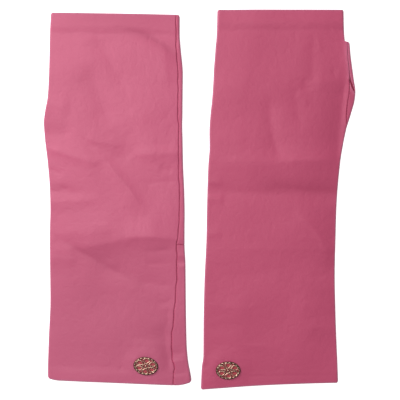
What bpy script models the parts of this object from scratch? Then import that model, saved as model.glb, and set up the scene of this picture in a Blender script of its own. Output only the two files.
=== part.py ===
"""A pair of fingerless leather gloves, laid flat side by side with the finger openings at the top (+Y).

Each glove is a flattened tube of nappa leather: a back panel that faces up, and a palm side cut in two
pieces that meet at a cross seam over the wrist. The panels meet at two side seams, and one of these is left
open for the thumb. Both ends are turned in as hems. An openwork metal plaque sits on each back panel near
the arm hem.

Every wall follows the same section: flat underneath, flat on top, and round at the two side folds. A point
of the section is named by its way round the tube, measured from the left fold over the top.
"""
import math
from collections import namedtuple

import bmesh
import bpy
import numpy as np

MM = 0.001
PAIR_NAME = "fingerless_leather_gloves"

# Leather and seams, in millimetres
WALL = 1.0
HEM_WALL = 1.8
HAND_HEM = 14.5
ARM_HEM = 7.0
HEM_STEP = 2.0
SEAM_GAP = 0.35
CROSS_GAP = 0.45
TURN_GAP = 0.5
TURN_REACH = 2.5
FOLD_RADIUS = 1.8
HEM_FOLD_RADIUS = 2.1
CROWN = 1.0
FOLD_RISE = 9.0

# Grid of each panel
BACK_SEGMENTS = 20
PALM_SEGMENTS = 13
ROW_PITCH = 9.0
TURN_PITCH = 2.5
FOLD_CROWDING = 9.0
FOLD_REACH = 3.0
FINE_STEPS = 400
SHARP_ANGLE = 40.0

# Plaque, in millimetres
PLAQUE_HALF_LENGTH = 9.5
PLAQUE_HALF_WIDTH = 6.8
PLAQUE_THICKNESS = 1.2
PLAQUE_GAP = 0.3
PLAQUE_SCALLOPS = 20
PLAQUE_SCALLOP_DEPTH = 0.25
PLAQUE_RIM = 1.3
PLAQUE_PETALS = 8
PLAQUE_SEAT = 12.0
PLAQUE_SEAT_FADE = 8.0
PLAQUE_SEAT_HEIGHT = 0.8

# The plaque's petal openings: the boss as a share of the oval, half a rib's angle, and how pointed they are
BOSS_SHARE = 0.27
HALF_RIB_ANGLE = 0.16
PETAL_TAPER = 0.45
PETAL_POINTS = 14

# The thumb's slit, in millimetres from the hand hem
THUMB_START = 22.5
THUMB_END = 66.0
SLIT_END = 4.0

# Colours of the finished surfaces
NAPPA_PINK = "#CB6986"
PALE_GOLD = "#C9A27C"

Station = namedtuple("Station", "along left right left_seam right_seam")
Fold = namedtuple("Fold", "start_x start_y end_x end_y bow width height")

# A station is a cut across the glove. "along" runs from the hand hem to the arm hem, and "left" and "right"
# are the side folds, measured from the glove's centre line. A seam is given by its way round the curve from
# the outermost line of its side fold, more than zero on top and less than zero underneath.
LEFT_STATIONS = [
    (0.0, -50.3, 48.2, -8.0, 3.5),
    (15.0, -51.1, 48.2, -8.0, 3.9),
    (25.0, -51.3, 48.9, -8.0, 4.1),
    (45.0, -51.8, 50.6, -8.0, 4.4),
    (64.0, -52.8, 50.4, -8.0, 4.4),
    (76.0, -54.9, 50.3, -8.0, 4.3),
    (84.0, -55.8, 50.1, -8.0, 3.9),
    (95.0, -55.1, 50.4, -8.0, 3.9),
    (115.0, -52.8, 50.8, -8.0, 4.2),
    (135.0, -51.2, 51.7, -8.0, 4.4),
    (152.0, -50.8, 52.0, -8.0, 4.9),
    (164.0, -51.1, 51.9, -8.0, 5.6),
    (174.0, -51.2, 51.9, -8.0, 7.1),
    (190.0, -51.1, 52.6, -8.0, 7.3),
    (220.0, -50.8, 52.9, -8.0, 9.2),
    (250.0, -52.0, 53.5, -8.0, 12.5),
    (268.0, -52.6, 55.2, -8.0, 12.4),
    (274.0, -52.7, 56.1, -8.0, 13.8),
    (282.0, -52.7, 57.2, -8.0, 13.9),
]
RIGHT_STATIONS = [
    (0.0, -41.7, 54.9, -4.2, -4.2),
    (14.0, -42.0, 55.2, -4.2, -3.4),
    (21.0, -42.5, 55.6, -4.2, -0.6),
    (26.0, -42.9, 59.2, -4.2, 2.4),
    (35.0, -43.5, 60.3, -4.2, 3.3),
    (45.0, -44.3, 61.6, -4.2, 3.8),
    (54.0, -44.7, 62.8, -4.2, 4.2),
    (63.0, -45.3, 64.0, -4.2, 5.7),
    (70.0, -45.9, 63.3, -4.2, 6.2),
    (80.0, -47.0, 60.6, -4.2, 4.6),
    (92.0, -47.7, 57.0, -4.2, 0.0),
    (104.0, -47.6, 54.5, -4.2, -5.0),
    (118.0, -48.6, 52.3, -4.2, -7.5),
    (150.0, -49.6, 49.6, -4.2, -8.0),
    (172.0, -50.0, 48.9, -4.2, -8.0),
    (205.0, -51.5, 48.2, -4.2, -8.0),
    (235.0, -52.2, 48.8, -4.2, -8.0),
    (262.0, -52.4, 49.8, -4.2, -8.0),
    (271.0, -53.6, 50.2, -4.2, -8.0),
    (287.5, -54.3, 50.7, -4.2, -8.0),
]

# The largest folds of the upper wall, each from its start to its end in plan. The bow is how far the middle
# lies to the left of that line, the width is a half width, and a height below zero is a trough.
LEFT_FOLDS = [
    (-102.0, -36.0, -18.0, -31.0, 1.5, 8.0, 1.3),
    (-94.0, -43.0, -49.0, -57.0, -1.5, 7.0, -0.9),
    (-110.0, 44.0, -80.0, 32.0, 1.0, 6.0, 0.8),
    (-50.0, 36.0, -21.0, 41.0, 0.0, 6.0, 0.7),
    (-106.0, 31.0, -68.0, 29.0, -2.5, 6.0, -0.7),
    (-69.0, 29.0, -36.0, 51.0, -2.0, 6.0, -0.7),
    (-82.0, 124.0, -53.0, 81.0, 4.0, 8.0, 0.8),
    (-90.0, 92.0, -78.0, 72.0, 0.0, 9.0, -0.8),
    (-63.0, 132.0, -18.0, 103.0, 6.0, 6.0, -0.6),
]
RIGHT_FOLDS = [
    (17.0, 8.0, 103.0, 5.0, 8.0, 8.0, -1.1),
    (52.0, 84.0, 54.0, 43.0, -2.5, 7.0, -0.8),
    (54.0, 43.0, 82.0, 28.0, -4.0, 6.0, -0.7),
    (60.0, 76.0, 66.0, 44.0, -1.5, 6.0, 0.6),
    (81.0, 37.0, 100.0, 36.0, 0.0, 7.0, 0.6),
    (103.0, 86.0, 103.0, 44.0, 0.0, 8.0, -0.9),
    (88.0, 118.0, 88.0, 92.0, 0.0, 6.0, 0.6),
    (79.0, -18.0, 100.0, -39.0, 0.0, 6.0, -0.6),
]


def empty_scene():
    """Remove whatever the file opened with."""
    for old in list(bpy.data.objects):
        bpy.data.objects.remove(old, do_unlink=True)


def linear_colour(hex_colour):
    """Turn an sRGB hex colour into the linear values that a shader takes."""
    parts = [int(hex_colour[i:i + 2], 16) / 255 for i in (1, 3, 5)]
    return [p / 12.92 if p <= 0.04045 else ((p + 0.055) / 1.055) ** 2.4 for p in parts] + [1.0]


def make_material(name, hex_colour, roughness, metallic):
    """A Principled material with one colour, roughness and metallic value."""
    material = bpy.data.materials.new(name)
    material.use_nodes = True
    shader = material.node_tree.nodes["Principled BSDF"]
    shader.inputs["Base Color"].default_value = linear_colour(hex_colour)
    shader.inputs["Roughness"].default_value = roughness
    shader.inputs["Metallic"].default_value = metallic
    return material


def smooth_step(value):
    """Rise from 0 to 1 with level ends as the value goes from 0 to 1."""
    value = np.clip(value, 0.0, 1.0)
    return value * value * (3.0 - 2.0 * value)


def smooth_column(stations, name, at):
    """Read one column of the stations at any place along the glove, as a smooth curve through its rows."""
    rows = np.array(stations)
    places, values = rows[:, 0], rows[:, Station._fields.index(name)]
    slopes = np.gradient(values, places)
    low = np.clip(np.searchsorted(places, at) - 1, 0, len(places) - 2)
    step = places[low + 1] - places[low]
    t = (at - places[low]) / step
    start, end = values[low], values[low + 1]
    rise = (t ** 3 - 2 * t ** 2 + t) * slopes[low] + (t ** 3 - t ** 2) * slopes[low + 1]
    return start + (3 * t ** 2 - 2 * t ** 3) * (end - start) + rise * step


def crowded_stops(start, end, count, folds):
    """Stops from start to end, closer together near the side folds."""
    fine = np.linspace(start, end, FINE_STEPS)
    density = np.ones(FINE_STEPS)
    for fold in folds:
        density += FOLD_CROWDING * np.exp(-((fine - fold) / FOLD_REACH) ** 2)
    passed = np.concatenate([[0.0], np.cumsum((density[1:] + density[:-1]) / 2)])
    return np.interp(np.linspace(0.0, passed[-1], count), passed, fine)


def fold_height(fold, x, y):
    """Height of one fold over the plan: a soft ridge or trough along a bowed line, with rounded ends."""
    reach = math.hypot(fold.end_x - fold.start_x, fold.end_y - fold.start_y)
    run_x, run_y = (fold.end_x - fold.start_x) / reach, (fold.end_y - fold.start_y) / reach
    ahead = (x - fold.start_x) * run_x + (y - fold.start_y) * run_y
    aside = (y - fold.start_y) * run_x - (x - fold.start_x) * run_y
    share = np.clip(ahead / reach, 0.0, 1.0)
    past_end = np.maximum(np.abs(ahead - reach / 2) - reach / 2, 0.0)
    away = np.hypot(aside - fold.bow * 4.0 * share * (1.0 - share), past_end)
    return fold.height * np.exp(-(away / fold.width) ** 2)


class Glove:
    """One glove: its outline, seams and folds, and the section they give. Sizes are in millimetres."""

    def __init__(self, side, centre, hand_corners, arm_corners, arm_bow, rounding,
                 stations, folds, thumb_side, thumb_gape, seam_turns, cross_seam, plaque):
        self.side = side
        self.centre = centre
        self.hand_corners = hand_corners
        self.arm_corners = arm_corners
        self.arm_bow = arm_bow
        self.rounding = rounding
        self.stations = stations
        self.folds = [Fold(*row) for row in folds]
        self.thumb_side = thumb_side
        self.thumb_gape = thumb_gape
        self.seam_turns = seam_turns
        self.cross_seam = cross_seam
        self.plaque = plaque
        self.length = stations[-1][0]

    def column(self, name, along):
        """One column of the station table at these places along the glove."""
        return smooth_column(self.stations, name, along)

    def hem_share(self, along):
        """1 where the wall is a turned hem, 0 where it is single leather."""
        hand = 1.0 - smooth_step((along - HAND_HEM) / HEM_STEP)
        arm = 1.0 - smooth_step((self.length - along - ARM_HEM) / HEM_STEP)
        return np.maximum(hand, arm)

    def fold_radius(self, along):
        """Outer radius of a side fold, a little larger where the hem is inside it."""
        return FOLD_RADIUS + (HEM_FOLD_RADIUS - FOLD_RADIUS) * self.hem_share(along)

    def way_over_top(self, along):
        """Length of the section from the left fold over the top to the right fold."""
        radius = self.fold_radius(along)
        return self.column("right", along) - self.column("left", along) + (math.pi - 2.0) * radius

    def seam_opening(self, side, along):
        """Gap between two panels at a seam: wider where it turns round a fold or lets out the thumb."""
        gap = SEAM_GAP + TURN_GAP * np.exp(-(self.column(side + "_seam", along) / TURN_REACH) ** 2)
        if side == self.thumb_side:
            share = np.clip((along - THUMB_START) / (THUMB_END - THUMB_START), 0.0, 1.0)
            gap = gap + self.thumb_gape * np.sqrt(np.sin(math.pi * share))
        return gap

    def lift(self, x, y):
        """Extra height of the upper wall: the air inside, the folds, and a level seat for the plaque."""
        height = np.full(x.shape, CROWN)
        for fold in self.folds:
            height = height + fold_height(fold, x, y)
        away = np.hypot(x - self.plaque[0], y - self.plaque[1])
        seat = 1.0 - smooth_step((away - PLAQUE_SEAT) / PLAQUE_SEAT_FADE)
        return height + (PLAQUE_SEAT_HEIGHT - height) * seat

    def place(self, way, along, depth):
        """Points of the wall: the way round, the place along the glove, and the depth below the surface."""
        left, right = self.column("left", along), self.column("right", along)
        radius = self.fold_radius(along)
        over_top = self.way_over_top(along)
        from_left = np.where(way <= over_top, way, way - 2.0 * over_top)
        from_right = over_top - way
        near_left = np.abs(from_left) < np.abs(from_right)
        inward = np.where(near_left, 1.0, -1.0)
        fold_way = np.where(near_left, from_left, from_right)
        upward = np.sign(fold_way)
        angle = np.clip(np.abs(fold_way) / radius, 0.0, math.pi / 2)
        inset = radius * (1.0 - np.cos(angle)) + np.maximum(np.abs(fold_way) - radius * math.pi / 2, 0.0)
        x = np.where(near_left, left, right) + inward * inset
        y = self.plan_y((x - left) / (right - left), inset, near_left, along)
        rise = self.lift(x + self.centre, y) * smooth_step(inset / FOLD_RISE) * (fold_way > 0.0)
        x = x + self.centre + inward * depth * np.cos(angle)
        z = radius + upward * (radius - depth) * np.sin(angle) + rise
        return np.stack([x, y, z], axis=-1)

    def plan_y(self, across, inset, near_left, along):
        """Place up and down the plan, between two hems whose corners are rounded."""
        hand = self.hand_corners[0] + (self.hand_corners[1] - self.hand_corners[0]) * across
        arm = self.arm_corners[0] + (self.arm_corners[1] - self.arm_corners[0]) * across
        arm = arm + self.arm_bow * 4.0 * across * (1.0 - across)
        retreat = []
        for end in ("hand", "arm"):
            turn = np.where(near_left, self.rounding[end][0], self.rounding[end][1])
            off = np.clip(turn - inset, 0.0, turn)
            retreat.append(turn - np.sqrt(turn ** 2 - off ** 2))
        hand, arm = hand - retreat[0], arm + retreat[1]
        return hand + (arm - hand) * along / self.length


# "left" and "right" are as seen from above, and the corners are given left first
LEFT_GLOVE = Glove(
    side="left", centre=-63.33, hand_corners=(142.75, 141.15), arm_corners=(-137.8, -142.3), arm_bow=0.0,
    rounding={"hand": (1.5, 1.5), "arm": (4.6, 6.0)}, stations=LEFT_STATIONS, folds=LEFT_FOLDS,
    thumb_side="left", thumb_gape=6.0, seam_turns=(), cross_seam=174.6, plaque=(-41.0, -126.7, -8.0))
RIGHT_GLOVE = Glove(
    side="right", centre=55.17, hand_corners=(144.95, 144.95), arm_corners=(-145.2, -139.9), arm_bow=1.1,
    rounding={"hand": (1.2, 1.2), "arm": (1.5, 2.0)}, stations=RIGHT_STATIONS, folds=RIGHT_FOLDS,
    thumb_side="right", thumb_gape=4.2, seam_turns=((16.5, 26.5), (78.0, 98.0)), cross_seam=180.0,
    plaque=(21.7, -130.1, 0.0))


def unit_slab(columns, rows):
    """A closed slab over a grid of faces: its top at height 1 and its underside at height 0."""
    slab = bmesh.new()
    bmesh.ops.create_grid(slab, x_segments=columns, y_segments=rows, size=0.5)
    bmesh.ops.translate(slab, verts=slab.verts, vec=(0.5, 0.5, 0.0))
    raised = bmesh.ops.extrude_face_region(slab, geom=slab.faces[:], use_keep_orig=True)
    upper = [part for part in raised["geom"] if isinstance(part, bmesh.types.BMVert)]
    bmesh.ops.translate(slab, verts=upper, vec=(0.0, 0.0, 1.0))
    bmesh.ops.recalc_face_normals(slab, faces=slab.faces[:])
    return slab


def make_wall(glove, name, way_start, way_end, along, segments, material, collection):
    """One leather panel: a slab whose top becomes its outer surface and whose underside its inner one."""
    last_row = len(along) - 1
    over_top = glove.way_over_top(along)
    ways = np.array([crowded_stops(start, end, segments + 1, (0.0, top, 2.0 * top))
                     for start, end, top in zip(way_start, way_end, over_top)])
    wall = WALL + (HEM_WALL - WALL) * glove.hem_share(along)
    outer = glove.place(ways, along[:, None], 0.0)
    inner = glove.place(ways, along[:, None], wall[:, None])

    slab = unit_slab(segments, last_row)
    for vertex in slab.verts:
        column = round(vertex.co.x * segments)
        row = round((1.0 - vertex.co.y) * last_row)
        surface = outer if vertex.co.z > 0.5 else inner
        vertex.co = surface[row, column] * MM
    mesh = bpy.data.meshes.new(name)
    slab.to_mesh(mesh)
    slab.free()
    mesh.shade_smooth()
    mesh.set_sharp_from_angle(angle=math.radians(SHARP_ANGLE))
    mesh.materials.append(material)
    panel = bpy.data.objects.new(name, mesh)
    collection.objects.link(panel)


def rows_along(glove):
    """Places along the glove where it is cut: even ones, closer where a seam turns round a side fold."""
    fixed = {0.0, HAND_HEM, HAND_HEM + HEM_STEP, THUMB_START, THUMB_START + SLIT_END, THUMB_END - SLIT_END,
             THUMB_END, glove.cross_seam, glove.length - ARM_HEM - HEM_STEP, glove.length - ARM_HEM,
             glove.length}
    fixed = sorted(fixed.union(*glove.seam_turns))
    stops = []
    for start, end in zip(fixed[:-1], fixed[1:]):
        turning = any(first <= start < last for first, last in glove.seam_turns)
        pieces = max(1, round((end - start) / (TURN_PITCH if turning else ROW_PITCH)))
        stops.extend(np.linspace(start, end, pieces, endpoint=False))
    return np.array(stops + [glove.length])


def back_panel(glove, material, collection):
    """The panel over the back of the hand, from one side seam over the top to the other."""
    along = rows_along(glove)
    start = glove.column("left_seam", along)
    end = glove.way_over_top(along) - glove.column("right_seam", along)
    make_wall(glove, glove.side + "_back_panel", start, end, along, BACK_SEGMENTS, material, collection)


def palm_panel(glove, name, along, material, collection):
    """One palm piece, from the right-hand seam under the glove to the left-hand seam."""
    over_top = glove.way_over_top(along)
    start = over_top - glove.column("right_seam", along) + glove.seam_opening("right", along)
    end = 2.0 * over_top + glove.column("left_seam", along) - glove.seam_opening("left", along)
    make_wall(glove, name, start, end, along, PALM_SEGMENTS, material, collection)


def palm_pieces(glove, material, collection):
    """The hand piece and the arm piece of the palm side, parted by the cross seam."""
    along = rows_along(glove)
    hand = np.append(along[along < glove.cross_seam], glove.cross_seam - CROSS_GAP / 2)
    arm = np.insert(along[along > glove.cross_seam], 0, glove.cross_seam + CROSS_GAP / 2)
    palm_panel(glove, glove.side + "_palm_hand_panel", hand, material, collection)
    palm_panel(glove, glove.side + "_palm_arm_panel", arm, material, collection)


def add_loop(curve, points):
    """Add one closed straight-sided loop to a flat curve."""
    loop = curve.splines.new("POLY")
    loop.points.add(len(points) - 1)
    for target, (x, y) in zip(loop.points, points):
        target.co = (x * MM, y * MM, 0.0, 1.0)
    loop.use_cyclic_u = True


def plaque_outline():
    """A scalloped oval, as points round it."""
    angles = np.linspace(0.0, 2.0 * math.pi, PLAQUE_SCALLOPS * 4, endpoint=False)
    reach = 1.0 - PLAQUE_SCALLOP_DEPTH / PLAQUE_HALF_WIDTH * (0.5 - 0.5 * np.cos(PLAQUE_SCALLOPS * angles))
    return np.stack([PLAQUE_HALF_LENGTH * reach * np.cos(angles),
                     PLAQUE_HALF_WIDTH * reach * np.sin(angles)], axis=-1)


def petal_hole(index):
    """One opening between two ribs, the rim and the middle boss, with rounded corners."""
    pitch = 2.0 * math.pi / PLAQUE_PETALS
    middle = (index + 0.5) * pitch
    turn = np.linspace(0.0, 2.0 * math.pi, PETAL_POINTS, endpoint=False)
    half_angle = pitch / 2 - HALF_RIB_ANGLE
    outer = 1.0 - PLAQUE_RIM / PLAQUE_HALF_WIDTH
    radial = (outer + BOSS_SHARE) / 2 + (outer - BOSS_SHARE) / 2 * np.cos(turn)
    angle = middle + half_angle * np.sin(turn) * (1.0 - PETAL_TAPER * (1.0 - radial))
    return np.stack([PLAQUE_HALF_LENGTH * radial * np.cos(angle),
                     PLAQUE_HALF_WIDTH * radial * np.sin(angle)], axis=-1)


def plaque(glove, material, collection):
    """The openwork metal oval, level on its seat just above the back panel."""
    name = glove.side + "_plaque"
    curve = bpy.data.curves.new(name, "CURVE")
    curve.dimensions = "2D"
    curve.fill_mode = "BOTH"
    curve.extrude = PLAQUE_THICKNESS / 2 * MM
    add_loop(curve, plaque_outline())
    for index in range(PLAQUE_PETALS):
        add_loop(curve, petal_hole(index))
    curve.materials.append(material)
    plate = bpy.data.objects.new(name, curve)
    collection.objects.link(plate)
    x, y, turn = glove.plaque
    seat = 2.0 * HEM_FOLD_RADIUS + PLAQUE_SEAT_HEIGHT
    plate.location = (x * MM, y * MM, (seat + PLAQUE_GAP + PLAQUE_THICKNESS / 2) * MM)
    plate.rotation_euler = (0.0, 0.0, math.radians(turn))


def main():
    """Build both gloves in one collection."""
    empty_scene()
    collection = bpy.data.collections.new(PAIR_NAME)
    bpy.context.scene.collection.children.link(collection)
    leather = make_material("nappa_leather_pink", NAPPA_PINK, 0.45, 0.0)
    gold = make_material("plaque_metal_pale_gold", PALE_GOLD, 0.3, 1.0)
    for glove in (LEFT_GLOVE, RIGHT_GLOVE):
        back_panel(glove, leather, collection)
        palm_pieces(glove, leather, collection)
        plaque(glove, gold, collection)


main()
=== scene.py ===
# %% [markdown]
# # A pair of fingerless leather gloves
#
# Two long fingerless gloves in thin pink nappa lie flat on white, back of the hand up, the finger openings
# at the top. Each is a tube: one panel over the back of the hand and two over the palm, sewn together with
# the edges inside. A small openwork plaque of gilded metal sits near each arm hem.
#
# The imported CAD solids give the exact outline. This script keeps that outline and makes each panel again as
# a fine shell with rolled seams, turned hems and creases. Lengths in the tables are millimetres.

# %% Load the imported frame
import math
from collections import namedtuple

import bpy
import numpy as np
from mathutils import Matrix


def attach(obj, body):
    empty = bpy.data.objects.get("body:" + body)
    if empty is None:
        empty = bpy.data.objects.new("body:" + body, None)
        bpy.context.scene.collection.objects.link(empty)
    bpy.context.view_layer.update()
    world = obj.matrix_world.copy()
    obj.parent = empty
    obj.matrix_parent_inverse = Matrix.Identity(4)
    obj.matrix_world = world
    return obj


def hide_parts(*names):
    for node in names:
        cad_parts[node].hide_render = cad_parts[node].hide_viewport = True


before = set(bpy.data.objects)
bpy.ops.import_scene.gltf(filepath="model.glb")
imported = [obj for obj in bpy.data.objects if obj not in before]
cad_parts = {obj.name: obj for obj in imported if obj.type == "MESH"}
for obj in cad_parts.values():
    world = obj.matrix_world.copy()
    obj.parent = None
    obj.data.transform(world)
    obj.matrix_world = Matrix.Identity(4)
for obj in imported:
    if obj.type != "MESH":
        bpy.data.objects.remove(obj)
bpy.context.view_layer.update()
MM = 0.001
BODY = "root"

# %% [markdown]
# ## The outline of each glove
#
# A tailor draws a glove from a few widths measured at stations down its length. The same is done here. A
# station gives both side folds, measured from the glove's own centre line. A seam's line has more stations
# than the outline, because sewn leather wanders a little. It is given by its way round the surface from the
# outermost line of the fold, above zero on top, or by its place across the glove where all of it shows.
#
# Reading the tables with a cubic curve keeps every line smooth between stations.

# %% Stations down each glove
# Place along the glove, then its left and right side folds
LEFT_OUTLINE = [
    (0, -50.3, 48.2), (15, -51.1, 48.2), (25, -51.3, 48.9), (45, -51.8, 50.6), (64, -52.8, 50.4),
    (76, -54.9, 50.3), (84, -55.8, 50.1), (95, -55.1, 50.4), (115, -52.8, 50.8), (135, -51.2, 51.7),
    (152, -50.8, 52), (164, -51.1, 51.9), (174, -51.2, 51.9), (190, -51.1, 52.6), (220, -50.8, 52.9),
    (250, -52, 53.5), (268, -52.6, 55.2), (274, -52.7, 56.1), (282, -52.7, 57.2),
]
RIGHT_OUTLINE = [
    (0, -41.7, 54.9), (14, -42, 55.2), (23.4, -42.5, 55.9), (24.2, -42.6, 56.5), (24.8, -42.7, 58.6),
    (25.5, -42.8, 59.4), (35, -43.5, 60.3), (45, -44.3, 61.6), (54, -44.7, 62.8), (63, -45.3, 64),
    (70, -45.9, 63.3), (80, -47, 60.6), (92, -47.7, 57), (104, -47.6, 54.5), (118, -48.6, 52.3),
    (150, -49.6, 49.6), (172, -50, 48.9), (205, -51.5, 48.2), (235, -52.2, 48.8), (262, -52.4, 49.8),
    (271, -53.6, 50.2), (287.5, -54.3, 50.7),
]
# Seams that keep one way from the fold, out of sight
UNDERNEATH = [(0, -8), (300, -8)]
UNDER_THE_EDGE = [(0, -4.2), (300, -4.2)]
# The seam that shows on the left glove, by its place across
SEAM_IN_VIEW = [
    (0, 45.4), (23, 45.4), (34.4, 46.2), (42, 46.7), (54.9, 47), (72.4, 46.7), (87.6, 47.4), (102.9, 47.3),
    (118.1, 47.3), (129.5, 47.8), (140.9, 48.1), (152.3, 47.9), (163.7, 47.2), (169, 47), (171.8, 46.3),
    (174.4, 45.6), (178.9, 45.7), (182.7, 46.1), (188.8, 45.9), (198, 46), (209.4, 45.1), (217, 44.9),
    (223.8, 44), (229.9, 43.4), (236, 43.4), (239, 42.9), (242.1, 42), (252, 41.9), (257.3, 42.2),
    (262.6, 42.5), (266.4, 43.8), (269.5, 44.2), (271.8, 43.4), (275.6, 43.2), (282, 43.5),
]
# The seam with the thumb slit on the right glove, by its way from the fold
THUMB_SEAM = [
    (0, -4.2), (14, -3.4), (21.2, -0.6), (23.4, 0.3), (24.8, 2.4), (26, 2.9), (35, 3.4), (45, 3.8),
    (51, 4.2), (57, 4.9), (63, 5.9), (70, 6.2), (80, 4.6), (92, 0), (104, -5), (118, -7.5), (150, -8),
    (172, -8), (287.5, -8),
]


def through(places, values, at):
    """A cubic curve through (place, value) rows that never swings past them: the slope at a row is the
    harmonic mean of the slopes on its two sides, and level at a turning point."""
    sides = np.diff(values) / np.diff(places)
    before, after = sides[:-1], sides[1:]
    same_way = before * after > 0.0
    inner = np.where(same_way, 2.0 * before * after / np.where(same_way, before + after, 1.0), 0.0)
    slopes = np.concatenate([sides[:1], inner, sides[-1:]])
    low = np.clip(np.searchsorted(places, at) - 1, 0, len(places) - 2)
    step = places[low + 1] - places[low]
    t = (at - places[low]) / step
    rise = (t ** 3 - 2 * t ** 2 + t) * slopes[low] + (t ** 3 - t ** 2) * slopes[low + 1]
    return values[low] + (3 * t ** 2 - 2 * t ** 3) * (values[low + 1] - values[low]) + rise * step


def smooth_step(value):
    """Rise from 0 to 1 with level ends while the value goes from 0 to 1."""
    value = np.clip(value, 0.0, 1.0)
    return value * value * (3.0 - 2.0 * value)


print("stations:", len(LEFT_OUTLINE), "left and", len(RIGHT_OUTLINE), "right")

# %% [markdown]
# ## Creases
#
# Leather that has been folded, worn and smoothed flat again keeps soft ridges and troughs. They are listed,
# each a line in plan with a width on either side, the radius of its crest, and a height, below zero for a
# trough. It may be bowed, or swayed like an S. Unequal widths make one flank steep and the other gentle, as
# where a fold was pressed over. Between them the leather is never quite level, and a few long waves stand
# for that.
#
# A crease that runs along the light hardly shows by its shape, so a few lines are set in the same way to add
# painted shade to the colour instead of height.

# %% Crease tables
Crease = namedtuple("Crease", "start_x start_y end_x end_y left_width right_width crest height bow sway",
                    defaults=(0.0, 0.0))
LEFT_CREASES = [
    # The pressed fold across the forearm, the foot of its shaded side, and the swell above it
    (-124, -38, -6, -33, 15, 9, 1, 1.3, 3.6, 3),
    (-70, -27.5, 2, -32, 10, 7, 1, 0.75, 1.5),
    (-114, -26, -46, -65, 9, 4, 1.2, -0.7),
    (-88, -50, -22, -64, 8, 6, 2.5, -0.45),
    (-130, -74, 5, -78, 26, 40, 12, -0.5),
    (-60, -21, -28, -23, 7, 10, 2, 0.25),
    (-122, -27, -44, -22, 10, 9, 2, 0.6),
    (-118, -44, -92, -46, 5, 7, 1.5, 0.5),
    # The folds that meet over the wrist like a shallow V, and the one at its right
    (-122, 42, -70, 27, 8, 5, 1, 0.9, -1.5),
    (-92, 49, -55, 41, 5, 3.5, 1, 0.55, -1.5),
    (-86, 20, -36, 40, 9, 34, 2.5, -0.95, 1),
    (-60, 34, -4, 36.5, 7, 5, 1.2, 0.8),
    (-82, 40, -40, -12, 5, 16, 0.8, 1.2, 2),
    # The hollow under the hand hem and its arc round to the seam
    (-73.1, 131.2, -2.8, 82.3, 3.5, 5.5, 0.8, -0.45, 15),
    (-29, 128, -24, 82, 4, 14, 1, 0.4),
    # The slack over the hand
    (-82.3, 131.2, -51.7, 76.2, 6, 7, 2, -0.7),
    (-87, 108, -66, 52, 10, 10, 3, -1.1),
    (-98, 122, -66, 122, 4, 7, 1.5, 0.3),
    (-125, 75, -97, 70, 7, 9, 2, 0.65),
    (-125, 51, -94, 50, 7, 6, 2, -0.5),
    (-55, 68, -38, 59, 2.5, 2.5, 1, 0.22),
    # Small crisp creases among them
    (-89.2, 49, -80.5, 37.6, 1.8, 1.4, 0.7, -0.25),
    (-76, 47.2, -62, 46.6, 1.6, 2.4, 0.8, 0.12, -0.8),
    (-108, 9.6, -98, 7.2, 1.4, 1.4, 0.7, -0.35),
    (-116, 24.4, -103, 17.8, 1.6, 1.6, 0.7, -0.3),
    (-31.5, 25.4, -20, 20.6, 1.5, 1.6, 0.7, -0.28),
    (-98, -35, -78, -47.5, 1.6, 1.5, 0.7, -0.28),
    (-72, -46, -62, -53.5, 1.4, 1.5, 0.7, 0.22),
    (-84, -19, -66, -20, 1.6, 1.8, 0.7, 0.2),
    # Left edge
    (-128, 7.5, -86, 4.5, 3.5, 4, 1, -0.5),
    (-128, -3.5, -70, 1, 4, 4, 1, 0.45),
    # Beside the seam near the arm hem
    (-28, -92, -23, -134, 3, 7, 1.5, -0.9),
    (-62, -109.8, -17, -110.6, 3, 5, 1, 0.35),
    (-24, -82, -24.5, -99, 1.8, 2.5, 1, -0.3),
    (-62, -128, -54, -129, 1.6, 1.6, 1, -0.15),
    # Small dents that the seam draws into the leather beside it
    (-46, 12.5, -16, 14, 1.5, 1.8, 0.8, -0.22),
    (-44, -40.5, -18, -37, 1.6, 2.5, 0.8, -0.3),
    (-44, -48.5, -18, -49, 1.5, 1.8, 0.8, -0.22),
    (-52, -62, -18, -66.5, 2.5, 2.5, 1, -0.3),
    (-40, 60, -18, 62, 2, 2, 0.8, -0.12),
    (-36, 44, -18, 40, 2, 2, 0.8, -0.22),
    (-34, -80, -18, -77, 2, 2.5, 0.8, -0.28),
    (-32, -124, -16, -119, 1.8, 2, 0.8, -0.25),
    # Puckers across the sewn strip below the cross seam
    (-19, -42.2, -6, -42.6, 0.8, 0.8, 0.4, 0.3),
    (-19, -47.2, -6, -47.4, 1.2, 1.2, 0.5, -0.35),
    (-19, -51, -6, -51.2, 1, 1.4, 0.5, 0.25),
    (-24, -118, -10, -116, 1.5, 2, 0.8, -0.3),
    (-24, -124, -9, -122.5, 1.6, 1.4, 0.6, 0.25),
    (-24, -133, -8, -132.5, 1.2, 1.4, 0.5, -0.25),
]
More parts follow.
